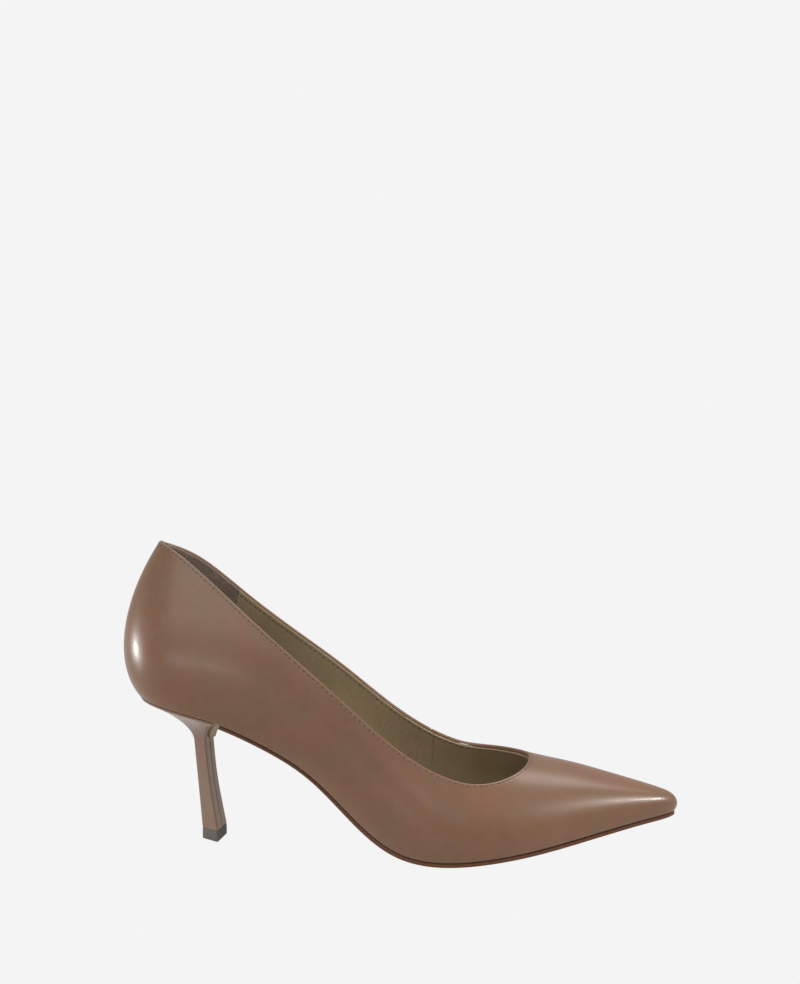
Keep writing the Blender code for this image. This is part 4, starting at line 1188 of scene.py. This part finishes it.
def make_heel_cover():
    """The leather round the stem, flared out to the seat, with the seam down the middle of the breast."""
    top_z = STEM_SECTIONS[-1][0]
    rings = [stem_ring(STEM_FOOT - 0.02, 0.3), stem_ring(STEM_FOOT, 0.12)]
    heights = [STEM_FOOT + 0.2, *np.linspace(STEM_FOOT + 0.8, top_z, 28)[:-1]]
    rings += [stem_ring(z, 0, groove=SEAM_GROOVE) for z in heights]
    start = stem_ring(top_z, 0, groove=SEAM_GROOVE)
    bend = stem_ring(top_z, 0, FLARE_SPREAD, groove=SEAM_GROOVE)
    bend[:, 2] += FLARE_DEPTH
    edge, *rim = [rim_ring(inset, height) for inset, height in COVER_RIM]
    for share in np.linspace(0, 1, 26):
        rings.append(curve(share, start, bend, edge))
    points, faces = sweep(rings + rim)
    without_caps = faces[:-2]
    cover = add_piece(
        "heel_cover_leather", points, without_caps, [LIGHTENED_HEEL_LEATHER], "heel_leather", ("heel_cover",),
        closed=False,
    )
    solidify(cover, COVER_THICKNESS, even=False)


def make_top_lift():
    rings = []
    for z, inset in LIFT_PROFILE:
        ring = stem_ring(STEM_FOOT, inset)
        ring[:, 2] = z
        rings.append(ring)
    add_piece("top_lift_rubber", *sweep(rings), [LIFT], "lift_rubber", ("top_lift",))


def finish_hidden_nodes():
    """The CAD solids inside the shoe keep their shapes and get real finishes."""
    nails = [f"heel_nail_{number}" for number in range(1, 5)]
    rivets = ["shank_rivet_front", "shank_rivet_rear"]
    finishes = {
        BOARD: ("insole_board", "shank_board", "heel_counter", "toe_puff"),
        STEEL: ("steel_shank", "heel_screw", *nails, *rivets, "heel_dowel", "top_lift_pin"),
        PLASTIC: ("heel_block",),
        CORK: ("bottom_filler",),
        TAPE: ("topline_tape",),
    }
    for material, names in finishes.items():
        for name in names:
            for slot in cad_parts[name].material_slots:
                slot.material = material


# ---- stage, light and camera

BACKGROUND = 0.905
WORLD_GLOW = 0.42
FLOOR_GLOW = 0.62
FLOOR_SIZE = 12.0
FLOOR_Z = -0.0002


def stage_shader(tree, shown, glow):
    """What the camera sees is one plain pale tone; what lights the shoe is dimmer."""
    path = tree.nodes.new("ShaderNodeLightPath")
    level = tree.nodes.new("ShaderNodeMapRange")
    tree.links.new(path.outputs["Is Camera Ray"], level.inputs["Value"])
    level.inputs["To Min"].default_value = glow
    level.inputs["To Max"].default_value = shown
    return level.outputs["Result"]


def make_stage():
    world = bpy.data.worlds.new("studio")
    bpy.context.scene.world = world
    world.use_nodes = True
    background = world.node_tree.nodes["Background"]
    strength = stage_shader(world.node_tree, BACKGROUND, WORLD_GLOW)
    world.node_tree.links.new(strength, background.inputs["Strength"])
    background.inputs["Color"].default_value = (1, 1, 1, 1)

    bpy.ops.mesh.primitive_plane_add(size=FLOOR_SIZE, location=(0, 0, FLOOR_Z))
    floor = bpy.context.object
    floor.name = "floor"
    n = Nodes("pale floor")
    n.tree.nodes.remove(n.shader)
    glow = n.add("Emission", Strength=stage_shader(n.tree, BACKGROUND, FLOOR_GLOW)).outputs[0]
    clear = n.add("BsdfTransparent").outputs[0]
    from_below = n.add("NewGeometry").outputs["Backfacing"]
    look = n.fill(n.add("MixShader"), from_below, glow, clear)
    n.put(n.tree.nodes["Material Output"].inputs["Surface"], look)
    floor.data.materials.append(n.material)


def add_light(name, place, target, size, power):
    light = bpy.data.lights.new(name, "AREA")
    light.shape = "RECTANGLE"
    light.size, light.size_y = size
    light.energy = power
    obj = add_object(name, light)
    obj.location = place
    obj.rotation_mode = "QUATERNION"
    obj.rotation_quaternion = (Vector(target) - Vector(place)).to_track_quat("-Z", "Y")


def make_lights():
    add_light("front softbox", (-0.3, -1.3, 1.5), (0.0, 0.0, 0.05), (2.0, 1.6), 14.5)
    add_light("overhead strip", (0.22, 0.3, 0.8), (0.08, 0.0, 0.03), (0.9, 0.2), 2.8)
    add_light("toe light", (0.68, -0.2, 0.42), (0.1, 0.0, 0.02), (0.13, 0.06), 2.5)
    add_light("heel light", (-0.75, -0.08, 0.1), (-0.1, 0.0, 0.09), (0.03, 0.035), 1.7)
    add_light("side strip", (-0.6, -1.45, 0.3), (-0.03, 0.0, 0.06), (0.8, 0.1), 1.5)


# The camera's place in the drawing frame, and how it is turned: yaw, pitch down and roll.
SENSOR_WIDTH = 36.0
CAMERA_PLACE = (100.528, -435.688, 166.922)
CAMERA_YAW = 0.035
CAMERA_PITCH = 0.0334
CAMERA_ROLL = 0.0146
FOCAL_LENGTH = 36.585


def make_camera():
    camera = bpy.data.cameras.new("camera")
    camera.lens = FOCAL_LENGTH
    camera.sensor_width = SENSOR_WIDTH
    camera.clip_start = 0.01
    turn = Matrix.Rotation(CAMERA_YAW, 4, "Z")
    turn @= Matrix.Rotation(math.pi / 2 - CAMERA_PITCH, 4, "X")
    turn @= Matrix.Rotation(-CAMERA_ROLL, 4, "Z")
    place = (np.array(CAMERA_PLACE) + SHIFT) * MM
    obj = add_object("camera", camera)
    obj.matrix_world = Matrix.Translation(place.tolist()) @ turn
    bpy.context.scene.camera = obj


bpy.context.scene.view_settings.view_transform = "Standard"
make_camera()
make_stage()
make_lights()
make_uppers()
make_linings()
make_sock()
make_pad("heel_cushion", "heel_pad", HEEL_PAD_SPAN, HEEL_PAD_HALF_WIDTH, HEEL_PAD_THICKNESS)
make_pad(
    "forefoot_cushion", "forefoot_pad", FOREFOOT_PAD_SPAN, FOREFOOT_PAD_HALF_WIDTH,
    FOREFOOT_PAD_THICKNESS,
)
make_outsole()
make_tongue()
make_heel_cover()
make_top_lift()
finish_hidden_nodes()
